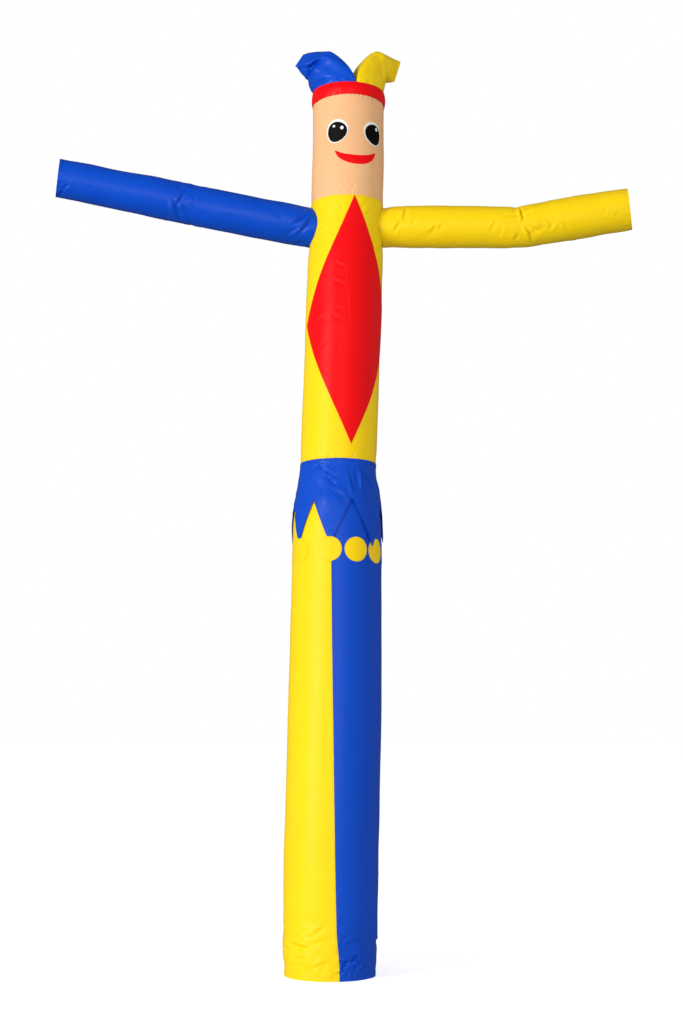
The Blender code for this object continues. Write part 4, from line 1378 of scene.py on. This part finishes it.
HORN_ROOT = HEAD_TOP + GAP
HORN_BLUE_FORM = HornForm(
    side=-1,
    sections=(
        (-0.1186, HORN_ROOT, -0.0005, HORN_ROOT, 0.1186, 1.00),
        (-0.1190, 2.9050, -0.0005, 2.9120, 0.1180, 0.95),
        (-0.1300, 2.9250, -0.0010, 2.9450, 0.1100, 0.75),
        (-0.1375, 2.9400, -0.0160, 2.9900, 0.0930, 0.45),
        (-0.1392, 2.9475, -0.0700, 3.0410, 0.0700, 0.15),
        (-0.1520, 2.9570, -0.1080, 3.0410, 0.0500, 0.05),
        (-0.1690, 2.9730, -0.1370, 3.0385, 0.0270, 0.00),
        (-0.1795, 2.9840, -0.1530, 3.0330, 0.0050, 0.00),
        (-0.1850, 2.9870, -0.1570, 3.0320, 0.0016, 0.00),
    ),
    length=0.20,
    reliefs=(
        Crease(-4, 0.088, -56, 0.126, 16, 5.6, 0.5),
        Crease(-36, 0.126, -88, 0.094, 15, 5.6, -0.5),
        Crease(-10, 0.196, -96, 0.112, 20, -3.6, 0.2),
        Crease(-82, 0.112, -80, 0.030, 24, -3.0, 0.4),
        Crease(-106, 0.128, -100, 0.040, 20, 2.6, 0.2),
        Crease(-6, 0.040, -56, 0.040, 8, 2.6, 0.7, 5),
        Crease(-8, 0.030, -48, 0.033, 7, 2.0, -0.6, 4),
        Crease(-62, 0.030, -72, 0.010, 6, 1.2, 0.6),
        Crease(-80, 0.034, -84, 0.012, 6, 0.9, 0.6),
        Crease(20, 0.092, 70, 0.110, 14, 3.0, 0.5),
        Crease(60, 0.060, 120, 0.050, 12, 2.0, 0.5),
    ),
    billows=(Billow(121, 0.05, 0.6 * MM, 0.6 * MM),),
)
HORN_YELLOW_FORM = HornForm(
    side=1,
    sections=(
        (0.1186, HORN_ROOT, 0.0005, HORN_ROOT, 0.1186, 1.00),
        (0.1190, 2.9050, 0.0005, 2.9120, 0.1180, 0.95),
        (0.1250, 2.9300, 0.0060, 2.9520, 0.1090, 0.75),
        (0.1275, 2.9480, 0.0340, 3.0080, 0.0900, 0.45),
        (0.1280, 2.9630, 0.0955, 3.0590, 0.0640, 0.15),
        (0.1440, 2.9630, 0.1270, 3.0525, 0.0460, 0.05),
        (0.1540, 2.9620, 0.1600, 3.0455, 0.0250, 0.00),
        (0.1575, 2.9620, 0.1780, 3.0415, 0.0050, 0.00),
        (0.1615, 2.9620, 0.1855, 3.0400, 0.0016, 0.00),
    ),
    length=0.20,
    reliefs=(
        Crease(-140, 0.097, -62, 0.084, 14, 2.6, 0.6),
        Crease(-76, 0.088, -22, 0.058, 14, 3.4, 0.6),
        Crease(-114, 0.082, -98, 0.064, 6, 1.2, 0.6),
        Crease(-120, 0.072, -104, 0.056, 6, 1.0, -0.6),
        Crease(-104, 0.088, -92, 0.072, 6, 1.0, 0.6),
        Crease(-96, 0.036, -88, 0.012, 7, 1.2, 0.6),
        Crease(-70, 0.030, -66, 0.010, 6, 0.9, 0.6),
        Crease(-50, 0.036, -54, 0.014, 6, 0.9, -0.6),
        Crease(-66, 0.110, -40, 0.160, 14, 1.4, 0.5),
        Crease(20, 0.062, 76, 0.086, 14, 3.0, 0.5),
        Crease(60, 0.050, 120, 0.040, 12, 2.0, 0.5),
    ),
    billows=(Billow(131, 0.05, 0.6 * MM, 0.5 * MM),),
)


@dataclass(frozen=True)
class Trousers:
    """The lower tube: a yellow and a blue half, seamed at the front and the back, with a turned-up hem."""

    form: TubeForm = TROUSER_FORM
    top: float = 1.640
    columns: int = 112
    rows: tuple[tuple[float, float], ...] = ((0.0, 0.0034), (0.17, 0.006), (0.26, 0.0095), (1.44, 0.007))
    hem_stitch: float = 0.0125
    hem_turns: tuple[float, float] = (1.5, 178.5)
    beside_seam: tuple[float, float] = (-5.0 * MM, 9.0 * MM)
    seam_span: tuple[float, float] = (0.004, 1.60)
    clearance: float = GAP / 2 + 0.1 * MM
    cut_size: tuple[float, float] = (0.495, 1.665)

    def build(self) -> None:
        """Makes both halves and their stitching."""
        rows = spread(self.rows, self.top)
        for name, finish, start in (("trouser_blue", BLUE, 0.0), ("trouser_yellow", YELLOW, 180.0)):

            def spot(share: Array, height: Array, start: float = start) -> tuple[Array, Array]:
                """The place for a share of the way round this half, and a height."""
                clear = np.degrees(self.clearance / self.form.radius(height))
                angle = smooth_read(FRONT_SEAM, 1, height) + start
                return angle + clear + (180.0 - 2 * clear) * share, height

            piece = cloth_net(f"{name}_cloth", self.form, spot, np.linspace(0, 1, self.columns + 1), rows)
            give_wall(piece, CLOTH)
            dress(piece, finish, (name,))
        self.sew_seams()

    def seam_line(self, offset: float, turn: float) -> StitchLine:
        """A line beside the front or back seam, that many metres round from it."""
        heights = np.linspace(*self.seam_span, 40)
        angles = smooth_read(FRONT_SEAM, 1, heights) + turn + np.degrees(offset / self.form.radius(heights))
        return stitch_through(self.form, angles, heights)

    def sew_seams(self) -> None:
        """Sews the felled seams and the hem."""
        left, right = self.beside_seam
        hem = np.linspace(*self.hem_turns, 31)
        level = np.full_like(hem, self.hem_stitch)
        for word, side, turn, thread in (("yellow", -1, 0.0, YELLOW_THREAD), ("blue", 1, 180.0, BLUE_THREAD)):
            lines = [self.seam_line(left, turn), self.seam_line(right, 180.0 - turn)]
            lines.append(stitch_through(self.form, FRONT_SEAM[0][1] + side * hem, level))
            sew(f"stitch_trouser_{word}", lines, thread)


@dataclass(frozen=True)
class Torso:
    """The yellow tube from waist to neck, with its two armholes."""

    form: TubeForm = TORSO_FORM
    columns: int = 196
    rows: tuple[tuple[float, float], ...] = ((WAIST, 0.0036), (1.67, 0.0085), (2.20, 0.0050), (2.46, 0.0036))
    stitch_insets: tuple[float, float] = (0.0052, 0.0048)
    cut_size: tuple[float, float] = (0.795, 0.910)

    def build(self) -> None:
        """Makes the torso and its stitching."""
        rows = spread(self.rows, NECK)
        turns = np.linspace(-180.0, 180.0, self.columns + 1)
        piece = cloth_net("torso_cloth", self.form, same_place, turns, rows)
        for arm in (ARM_BLUE_FORM, ARM_YELLOW_FORM):
            self.open_armhole(piece, arm)
        give_wall(piece, CLOTH)
        dress(piece, YELLOW, ("torso",))
        low, high = self.stitch_insets
        lines = [ring(self.form, WAIST + low), ring(self.form, NECK - high)]
        sew("stitch_torso", lines, YELLOW_THREAD)

    def open_armhole(self, piece: bpy.types.Object, arm: ArmForm) -> None:
        """Takes away the cloth inside an arm's root, and rounds the edge that is left."""
        ahead, front = Vector(arm.ahead), Vector(arm.front)
        (start, level, radius), (after, level_after, _) = arm.sections[1:3]
        middle = Vector((arm.root_shift, 0.0, level))
        slope = (level_after - level) / (after - start)
        hole = radius - 2 * CLOTH

        def off_axis(point: Vector) -> Vector:
            """How far a point lies from the arm's middle line, across it."""
            away = point - middle
            return Vector((away.dot(front), away.z - slope * (away.dot(ahead) - start)))

        bm = bmesh.new()
        bm.from_mesh(piece.data)
        inside = []
        for face in bm.faces:
            if (face.calc_center_median() - middle).dot(ahead) > 0.0:
                if all(off_axis(v.co).length < hole for v in face.verts):
                    inside.append(face)
        edge = {v for face in inside for v in face.verts}
        bmesh.ops.delete(bm, geom=inside, context="FACES")
        for vertex in edge:
            if vertex.is_valid and vertex.is_boundary:
                away = off_axis(vertex.co)
                moved = away.normalized() * hole - away
                angle = math.atan2(vertex.co.x - arm.root_shift, -vertex.co.y)
                tangent = Vector((math.cos(angle), math.sin(angle), 0.0))
                vertex.co += Vector((0.0, 0.0, moved.y)) + tangent * moved.x * tangent.dot(front)
        bm.to_mesh(piece.data)
        bm.free()


@dataclass(frozen=True)
class Diamond:
    """The red diamond sewn on the torso's front."""

    form: TubeForm = TORSO_FORM
    top: tuple[float, float] = (-0.7, 2.5070)
    left: tuple[float, float] = (-82.6, 2.080)
    bottom: tuple[float, float] = (6.2, 1.6730)
    right: tuple[float, float] = (89.0, 2.080)
    out: float = 2 * GAP + PATCH
    stitch_out: float = GAP + PATCH
    steps: int = 128
    stitch_inset: float = 0.02
    cut_size: tuple[float, float] = (0.380, 0.840)

    def spot(self, right: Array, down: Array) -> tuple[Array, Array]:
        """The place for shares of the way from the top corner to the right and to the left one."""
        across, along = (
            (top * (1 - right) + far * right) * (1 - down) + (left * (1 - right) + bottom * right) * down
            for top, far, left, bottom in zip(self.top, self.right, self.left, self.bottom)
        )
        return across, along

    def build(self) -> None:
        """Makes the diamond and the stitches along its edges."""
        shares = np.linspace(0.0, 1.0, self.steps + 1)
        piece = cloth_net("diamond_cloth", self.form, self.spot, shares, shares, self.out)
        give_wall(piece, PATCH)
        dress(piece, RED, ("diamond",))
        width, length = self.cut_size
        width * length / 2
        near, far = self.stitch_inset, 1 - self.stitch_inset
        shares = np.linspace(near, far, 30)
        lines = []
        for right, down in ((shares, near), (shares, far), (near, shares), (far, shares)):
            across, along = self.spot(right + 0 * shares, down + 0 * shares)
            lines.append(stitch_through(self.form, across, along, self.stitch_out))
        sew("stitch_diamond", lines, RED_THREAD)


@dataclass(frozen=True)
class Tooth:
    """A pointed tooth of the skirt: the valley on its left, and its tip."""

    valley_angle: float
    valley_height: float
    tip_angle: float
    tip_height: float


@dataclass(frozen=True)
class Discs:
    """The yellow discs round the trousers at the skirt's points."""

    form: TubeForm = TROUSER_FORM
    radius: float = 0.0396
    height: float = 1.3300
    angles: tuple[float, ...] = (-66.5, -22.0, 12.8, 46.9, 87.0, 128.0, 169.0, 210.0, 251.0)
    sides: int = 56
    rings: int = 11
    stitch_inset: float = 2.6 * MM

    @property
    def wrap(self) -> float:
        """The trousers' radius at the discs."""
        return float(self.form.radius(np.array([self.height]))[0])

    def outline(self, angle: float, radius: Array, turn: Array) -> tuple[Array, Array]:
        """Places on a disc, at a distance from its middle and a turn round it."""
        return angle + np.degrees(radius * np.cos(turn) / self.wrap), self.height + radius * np.sin(turn)

    def build(self) -> None:
        """Makes the discs and the stitches inside their edges."""
        turns = np.linspace(0.0, math.tau, self.sides + 1)
        shares = np.linspace(0.0, 1.0, self.rings + 1)
        lines = []
        for number, angle in enumerate(self.angles, start=1):

            def spot(turn: Array, share: Array, angle: float = angle) -> tuple[Array, Array]:
                """The place for a turn round this disc and a share of its radius."""
                return self.outline(angle, share * self.radius, turn)

            piece = cloth_net(f"disc_{number}_cloth", self.form, spot, turns, shares, GAP + PATCH)
            give_wall(piece, PATCH)
            dress(piece, YELLOW, (f"disc_{number}",))
            size = 2 * self.radius
            area = math.pi * self.radius**2
            across, along = self.outline(angle, np.full_like(turns, self.radius - self.stitch_inset), turns)
            lines.append(stitch_through(self.form, across, along, GAP + PATCH))
        sew("stitch_discs", lines, YELLOW_THREAD)


@dataclass(frozen=True)
class Skirt:
    """The blue skirt, caught in the waist seam and cut in pointed teeth; discs trim its first points."""

    form: TubeForm = SKIRT_FORM
    discs: Discs = Discs()
    discs_over: int = 2
    teeth: tuple[Tooth, ...] = (
        Tooth(-88.0, 1.484, -67.5, 1.350),
        Tooth(-44.4, 1.489, -21.5, 1.346),
        Tooth(6.5, 1.494, 37.0, 1.342),
        Tooth(63.0, 1.488, 90.0, 1.368),
        Tooth(115.0, 1.490, 140.0, 1.352),
        Tooth(166.0, 1.486, 192.0, 1.348),
        Tooth(218.0, 1.490, 245.0, 1.358),
    )
    columns: int = 30
    rows: int = 58
    easing: float = 0.45
    waist_stitch: float = 0.009
    facing_height: float = 1.482
    facing_wave: float = 0.006
    edge_inset: float = 9.5 * MM
    cut_size: tuple[float, float] = (0.945, 0.290)
    cut_area: float = 0.188

    def edge(self, angle: Array) -> Array:
        """The height of the lower edge at each angle."""
        again = self.teeth[0]
        corners = []
        for tooth in self.teeth:
            corners += [(tooth.valley_angle, tooth.valley_height), (tooth.tip_angle, tooth.tip_height)]
        angles, heights = zip(*corners, (again.valley_angle + 360.0, again.valley_height))
        turned = (np.asarray(angle) - angles[0]) % 360.0 + angles[0]
        edge = np.interp(turned, angles, heights)
        radius = self.discs.radius + 2 * GAP
        for middle in self.discs.angles[: self.discs_over]:
            across = np.radians(turn_between(middle, turned)) * self.discs.wrap
            over = np.sqrt(np.maximum(0.0, radius**2 - across**2))
            edge = np.where(np.abs(across) < radius, np.maximum(edge, self.discs.height + over), edge)
        return edge

    def edges(self) -> list[tuple[float, float]]:
        """The angles at which each straight edge of the teeth starts and stops."""
        stops = [angle for tooth in self.teeth for angle in (tooth.valley_angle, tooth.tip_angle)]
        return list(zip(stops, (*stops[1:], stops[0] + 360.0)))

    def column_angles(self) -> Array:
        """The angle of each column, closer together at each tip and valley."""
        even = np.arange(self.columns // 2) / (self.columns // 2)
        shares = self.easing * (0.5 - 0.5 * np.cos(math.pi * even)) + (1 - self.easing) * even
        stops = [start + (stop - start) * shares for start, stop in self.edges()]
        return np.append(np.concatenate(stops), self.edges()[-1][1])

    def build(self) -> None:
        """Makes the skirt and its stitching."""

        def spot(angle: Array, share: Array) -> tuple[Array, Array]:
            """The place for an angle and a share of the way up from the lower edge."""
            edge = self.edge(angle)
            return angle, edge + (SKIRT_TOP - edge) * share

        shares = np.linspace(0.0, 1.0, self.rows + 1)
        piece = cloth_net("skirt_cloth", self.form, spot, self.column_angles(), shares)
        give_wall(piece, CLOTH)
        dress(piece, BLUE, ("skirt",))
        self.sew_edges()

    def sew_edges(self) -> None:
        """Sews the waist seam's second line, the facing above the teeth and the teeth's edges."""
        lines = [ring(self.form, SKIRT_TOP - self.waist_stitch)]
        angles = np.linspace(-180.0, 180.0, 61)
        wavy = self.facing_height + self.facing_wave * np.cos(np.radians(angles * 3 + 20))
        lines.append(stitch_through(self.form, angles, wavy))
        for start, stop in self.edges():
            across = np.linspace(start, stop, 22)[1:-1]
            lines.append(stitch_through(self.form, across, self.edge(across) + self.edge_inset))
        sew("stitch_skirt", lines, BLUE_THREAD)


@dataclass(frozen=True)
class Head:
    """The plain face tube, lapped into the torso below and the band above."""

    form: TubeForm = HEAD_FORM
    columns: int = 196
    rows: tuple[tuple[float, float], ...] = ((HEAD_BOTTOM, 0.0036), (2.59, 0.0060), (2.80, 0.0036))
    stitch_height: float = 2.8528
    cut_size: tuple[float, float] = (0.765, 0.395)

    def build(self) -> None:
        """Makes the head and its stitching."""
        turns = np.linspace(-180.0, 180.0, self.columns + 1)
        piece = cloth_net("head_cloth", self.form, same_place, turns, spread(self.rows, HEAD_TOP))
        give_wall(piece, CLOTH)
        dress(piece, SKIN, ("head",))
        sew("stitch_head", [ring(self.form, self.stitch_height)], GOLD_THREAD, 4.0 * MM)


@dataclass(frozen=True)
class Headband:
    """The red band at the top of the head, puffed out between its two seams."""

    form: BandForm = BAND_FORM
    columns: int = 180
    rows: int = 18
    stitch_inset: float = 0.004
    cut_size: tuple[float, float] = (0.790, 0.055)

    def build(self) -> None:
        """Makes the band and its stitching."""
        turns = np.linspace(-180.0, 180.0, self.columns + 1)
        rows = np.linspace(0.0, self.form.height, self.rows + 1)
        piece = cloth_net("headband_cloth", self.form, same_place, turns, rows)
        give_wall(piece, CLOTH)
        dress(piece, RED, ("headband",))
        lines = [ring(self.form, self.stitch_inset), ring(self.form, self.form.height - self.stitch_inset)]
        sew("stitch_headband", lines, RED_THREAD)


@dataclass(frozen=True)
class Oval:
    """An egg-shaped patch: its middle, half width and height, tilt, and how pointed it is."""

    angle: float
    height: float
    half_width: float
    half_height: float
    tilt: float = 0.0
    narrowing: float = 0.0
    side: int = 1

    def spot(self, turn: Array, share: Array) -> tuple[Array, Array]:
        """The place for a turn round the patch and a share of the way out to its edge."""
        tilt = math.radians(self.tilt)
        up = self.half_height * np.sin(turn)
        across = self.half_width * np.cos(turn) * (1 + self.narrowing * np.sin(turn))
        turned_across = (across * math.cos(tilt) - up * math.sin(tilt)) * share
        turned_up = (across * math.sin(tilt) + up * math.cos(tilt)) * share
        return self.side * (self.angle + np.degrees(turned_across / FACE_RADIUS)), self.height + turned_up


@dataclass(frozen=True)
class Face:
    """The eyes, their glints and the smile, sewn on the head in layers."""

    form: TubeForm = HEAD_FORM
    white: Oval = Oval(31.0, 2.7275, 0.0375, 0.0415, 16.0, 0.12)
    pupil: Oval = Oval(31.0, 2.7245, 0.0325, 0.0352, 20.0, 0.14)
    glints: tuple[tuple[str, str, Oval], ...] = (
        ("glint_left", "pupil_left", Oval(-22.6, 2.7375, 0.0056, 0.0060)),
        ("glint_left_low", "pupil_left", Oval(-35.5, 2.7450, 0.0046, 0.0040)),
        ("glint_right", "pupil_right", Oval(36.4, 2.7455, 0.0046, 0.0062)),
    )
    smile: tuple[tuple[float, float, float], ...] = (
        (-33.6, 2.6570, 2.6605),
        (-29.0, 2.6400, 2.6570),
        (-24.0, 2.6305, 2.6515),
        (-16.6, 2.6215, 2.6475),
        (-8.0, 2.6155, 2.6450),
        (0.5, 2.6135, 2.6440),
        (9.0, 2.6145, 2.6450),
        (17.6, 2.6195, 2.6485),
        (25.0, 2.6280, 2.6535),
        (30.5, 2.6390, 2.6590),
        (34.6, 2.6565, 2.6625),
    )
    smile_cut: tuple[float, float] = (0.145, 0.050)
    smile_area: float = 0.0036
    smile_columns: int = 72
    outline_out: float = 0.2 * MM
    stitch_inset: float = 1.6 * MM
    sides: int = 64
    rings: int = 10
    layer: float = PATCH + GAP

    def lay_oval(self, name: str, oval: Oval, finish: Nylon, layers: int) -> bpy.types.Object:
        """Lays an egg-shaped patch that many layers up."""
        turns = np.linspace(0.0, math.tau, self.sides + 1)
        shares = np.linspace(0.0, 1.0, self.rings + 1)
        piece = cloth_net(f"{name}_cloth", self.form, oval.spot, turns, shares, self.layer * layers)
        give_wall(piece, PATCH)
        return dress(piece, finish, (name,))

    def edge_stitches(self, oval: Oval, layers: int) -> StitchLine:
        """A line of stitches just inside an egg-shaped patch's edge."""
        turns = np.linspace(0.0, math.tau, 49)
        share = 1 - self.stitch_inset / oval.half_height
        across, along = oval.spot(turns, np.full_like(turns, share))
        return stitch_through(self.form, across, along, self.layer * layers)

    def build(self) -> None:
        """Makes the eyes and the smile."""
        pupils: dict[str, bpy.types.Object] = {}
        white_lines = []
        for word, side in (("left", -1), ("right", 1)):
            white = replace(self.white, side=side)
            pupil = replace(self.pupil, side=side)
            piece = self.lay_oval(f"eye_white_{word}", white, WHITE, 1)
            pupils[f"pupil_{word}"] = self.lay_oval(f"pupil_{word}", pupil, BLACK, 2)
            white_lines.append(self.edge_stitches(white, 1))
        sew("stitch_eyes", white_lines, PALE_THREAD, 3.6 * MM)
        on_pupil: dict[str, list[bpy.types.Object]] = {name: [] for name in pupils}
        for name, under, oval in self.glints:
            on_pupil[under].append(self.lay_oval(name, oval, WHITE, 3))
        self.lay_smile()

    def lay_smile(self) -> None:
        """Makes the smile, with its ends rounded, and its pale outline."""
        first, last = self.smile[0][0], self.smile[-1][0]

        def spot(share: Array, rise: Array) -> tuple[Array, Array]:
            """The place for shares of the way along and up the smile."""
            angle = first + (last - first) * share
            low, high = smooth_read(self.smile, 1, angle), smooth_read(self.smile, 2, angle)
            return angle, low + (high - low) * rise

        along = 0.5 - 0.5 * np.cos(np.linspace(0.0, math.pi, self.smile_columns + 1))
        rows = np.linspace(0.0, 1.0, self.rings + 1)
        piece = cloth_net("mouth_cloth", self.form, spot, along, rows, self.layer)
        give_wall(piece, PATCH)
        dress(piece, RED, ("mouth",))
        shares = np.linspace(0.0, 1.0, 40)
        edges = []
        for rise in (0.0, 1.0):
            across, high = spot(shares, np.full_like(shares, rise))
            edges.append(stitch_through(self.form, across, high, self.outline_out))
        sew("stitch_mouth", edges, PALE_THREAD, 3.4 * MM)


@dataclass(frozen=True)
class Arm:
    """An arm tube, cut to the torso's face at its root and hemmed at its open cuff."""

    name: str
    form: ArmForm
    finish: Nylon
    thread: Thread
    slot: str
    torso: TubeForm = TORSO_FORM
    columns: int = 108
    pitch: float = 0.0052
    nearest_root: float = 0.12
    root_search: tuple[float, float] = (0.02, 0.20)
    halvings: int = 26
    hem_stitch: float = 0.9575
    cut_size: tuple[float, float] = (0.435, 0.885)

    @property
    def end(self) -> float:
        """How far the cuff is from the torso's middle."""
        return self.form.sections[-1][0]

    def root(self, turn: Array) -> Array:
        """The distance at which the arm meets the torso's face, at each turn round it."""
        plain = ArmForm(self.form.side, self.form.sections)
        near, far = (np.full_like(turn, place) for place in self.root_search)
        for _ in range(self.halvings):
            middle = (near + far) / 2
            points = plain.surface(turn, middle)
            shift = smooth_read(self.torso.levels, 1, points[:, 2])
            reach = np.hypot(points[:, 0] - shift, points[:, 1])
            outside = reach > self.torso.radius(points[:, 2]) + GAP
            near, far = np.where(outside, near, middle), np.where(outside, middle, far)
        return far

    def build(self) -> None:
        """Makes the arm and its stitching."""
        turns = np.linspace(-180.0, 180.0, self.columns + 1)
        roots = self.root(turns)
        roots[-1] = roots[0]

        def spot(turn: Array, share: Array) -> tuple[Array, Array]:
            """The place for a turn round the arm and a share of the way to its cuff."""
            start = np.interp(turn, turns, roots)
            return turn, start + (self.end - start) * share

        shares = np.linspace(0.0, 1.0, round((self.end - self.nearest_root) / self.pitch) + 1)
        piece = cloth_net(f"{self.name}_cloth", self.form, spot, turns, shares)
        give_wall(piece, CLOTH)
        dress(piece, self.finish, (self.name,))
        beside = stitch_through(self.form, turns[::3], roots[::3] + 4 * MM)
        lines = [beside, ring(self.form, self.hem_stitch)]
        sew(f"stitch_{self.name}", lines, self.thread)


@dataclass(frozen=True)
class Horn:
    """A bent point of the cap, closed by a flat tip seam."""

    name: str
    form: HornForm
    finish: Nylon
    thread: Thread
    slot: str
    columns: int = 144
    rows: int = 84
    wall: float = 0.6 * CLOTH
    tip_stitch: float = 0.955
    tip_turns: tuple[float, float] = (8.0, 172.0)
    tip_above: float = HORN_ROOT + 0.02
    cut_size: tuple[float, float] = (0.620, 0.200)
    cut_area: float = 0.070

    def build(self) -> None:
        """Makes the horn and its stitching."""
        turns = np.linspace(-180.0, 180.0, self.columns + 1)
        rows = np.linspace(0.0, self.form.length, self.rows + 1)
        piece = cloth_net(f"{self.name}_cloth", self.form, same_place, turns, rows)
        bm = bmesh.new()
        bm.from_mesh(piece.data)
        tip = [e for e in bm.edges if e.is_boundary and min(v.co.z for v in e.verts) > self.tip_above]
        bmesh.ops.holes_fill(bm, edges=tip)
        bm.to_mesh(piece.data)
        bm.free()
        give_wall(piece, self.wall)
        dress(piece, self.finish, (self.name,))
        turns = np.linspace(*self.tip_turns, 24)
        along = np.full_like(turns, self.form.length * self.tip_stitch)
        lines = [stitch_through(self.form, side * turns, along) for side in (1, -1)]
        sew(f"stitch_{self.name}", lines, self.thread)


@dataclass(frozen=True)
class SoftBox:
    """A large soft lamp: where it stands, where it points, its size and its power."""

    name: str
    place: Place
    aim: Place
    size: tuple[float, float]
    power: float

    def build(self) -> None:
        """Sets up the lamp."""
        light = bpy.data.lights.new(self.name, "AREA")
        light.shape = "RECTANGLE"
        light.size, light.size_y = self.size
        light.energy = self.power
        lamp = add(self.name, light)
        lamp.location = self.place
        lamp.rotation_euler = (Vector(self.aim) - Vector(self.place)).to_track_quat("-Z", "Y").to_euler()


@dataclass(frozen=True)
class Studio:
    """The pale floor, the lamps and the camera.

    Attributes:
        azimuth, pitch: the camera's turn about +Z, and how far it looks up, in degrees.
        distance, aside, camera_height: how far it stands in front, to its right and up.
        lens: its focal length, in millimetres.
        floor_size, floor_colour, floor_glow: the floor's side, its colour and its own light.
        floor_tone, floor_cloud, floor_roughness: its palest tone, its noise's scale, its roughness.
        world_light, overhead_loss: the room's light at eye level, and the share lost overhead.
        world_gloss: the room's light as mirrored by the cloth.
        lamps: the soft boxes.
    """

    azimuth: float = -12.5
    distance: float = 5.063
    camera_height: float = 0.755
    pitch: float = 8.0
    lens: float = 55.0
    aside: float = 0.0361
    floor_size: float = 240.0
    floor_colour: Colour = (0.80, 0.80, 0.80)
    floor_glow: float = 0.66
    floor_tone: float = 1.03
    floor_cloud: float = 3.0
    floor_roughness: float = 0.9
    world_light: float = 0.85
    overhead_loss: float = 0.75
    world_gloss: float = 0.10
    lamps: tuple[SoftBox, ...] = (
        SoftBox("key", (-10.4, -6.0, 1.9), (0.0, 0.0, 1.6), (2.6, 5.0), 1040.0),
        SoftBox("front", (-2.0, -9.8, 1.5), (0.0, 0.0, 1.8), (5.0, 3.4), 230.0),
    )

    def build(self) -> None:
        """Sets up everything that isn't the figure."""
        self.lay_floor()
        self.light_world()
        for lamp in self.lamps:
            lamp.build()
        self.set_camera()
        bpy.context.scene.view_settings.view_transform = "Standard"

    def lay_floor(self) -> None:
        """Lays the floor, a plain pale paper that throws no light back up at the figure."""
        bm = bmesh.new()
        bmesh.ops.create_grid(bm, x_segments=2, y_segments=2, size=self.floor_size / 2)
        mesh = bpy.data.meshes.new("floor")
        bm.to_mesh(mesh)
        bm.free()
        floor = add("floor", mesh)
        material = bpy.data.materials.new("floor_paper")
        graph = Graph(material)
        paler = tuple(min(1.0, self.floor_tone * part) for part in self.floor_colour)
        graph.shade(
            Base_Color=graph.mix(graph.noise(graph.objects(), self.floor_cloud), self.floor_colour, paler),
            Roughness=self.floor_roughness,
            Specular_IOR_Level=0.0,
            Emission_Color=(1.0, 1.0, 1.0, 1.0),
            Emission_Strength=self.floor_glow,
        )
        mesh.materials.append(material)
        floor.visible_diffuse = floor.visible_glossy = False

    def light_world(self) -> None:
        """Gives the room its soft light, and a white look."""
        world = bpy.data.worlds.new("room")
        bpy.context.scene.world = world
        graph = Graph(world, "Background")
        seen = graph.node("ShaderNodeLightPath", output="Is Camera Ray")
        mirrored = graph.node("ShaderNodeLightPath", output="Is Glossy Ray")
        way = graph.node("ShaderNodeTexCoord", output="Generated")
        upward = graph.node("ShaderNodeSeparateXYZ", {}, {0: way}, "Z").math("ABSOLUTE")
        light = 1.0 - upward * self.overhead_loss
        dull = (1.0 - seen) * (1.0 - mirrored)
        strength = seen + mirrored * self.world_gloss + dull * light * self.world_light
        graph.shade(Strength=strength, Color=(1.0, 1.0, 1.0, 1.0))

    def set_camera(self) -> None:
        """Stands the camera where the picture was taken from."""
        view = bpy.data.cameras.new("camera")
        view.lens = self.lens
        camera = add("camera", view)
        turn = math.radians(self.azimuth)
        camera.location = (
            self.aside * math.cos(turn) + self.distance * math.sin(turn),
            self.aside * math.sin(turn) - self.distance * math.cos(turn),
            self.camera_height,
        )
        camera.rotation_euler = (math.radians(90.0 + self.pitch), 0.0, turn)
        bpy.context.scene.camera = camera


def main() -> None:
    """Builds the figure's cloth and the studio round it."""
    logging.basicConfig(level=logging.INFO, format="%(name)s %(message)s")
    parts = (
        *(kind() for kind in (Trousers, Torso, Diamond, Discs, Skirt, Head, Headband, Face)),
        Arm("arm_blue", ARM_BLUE_FORM, BLUE, BLUE_THREAD, "blue_nylon"),
        Arm("arm_yellow", ARM_YELLOW_FORM, YELLOW, YELLOW_THREAD, "yellow_nylon"),
        Horn("horn_blue", HORN_BLUE_FORM, BLUE, BLUE_THREAD, "blue_nylon"),
        Horn("horn_yellow", HORN_YELLOW_FORM, YELLOW, YELLOW_THREAD, "yellow_nylon"),
        Studio(),
    )
    for part in parts:
        part.build()


if __name__ == "__main__":
    main()
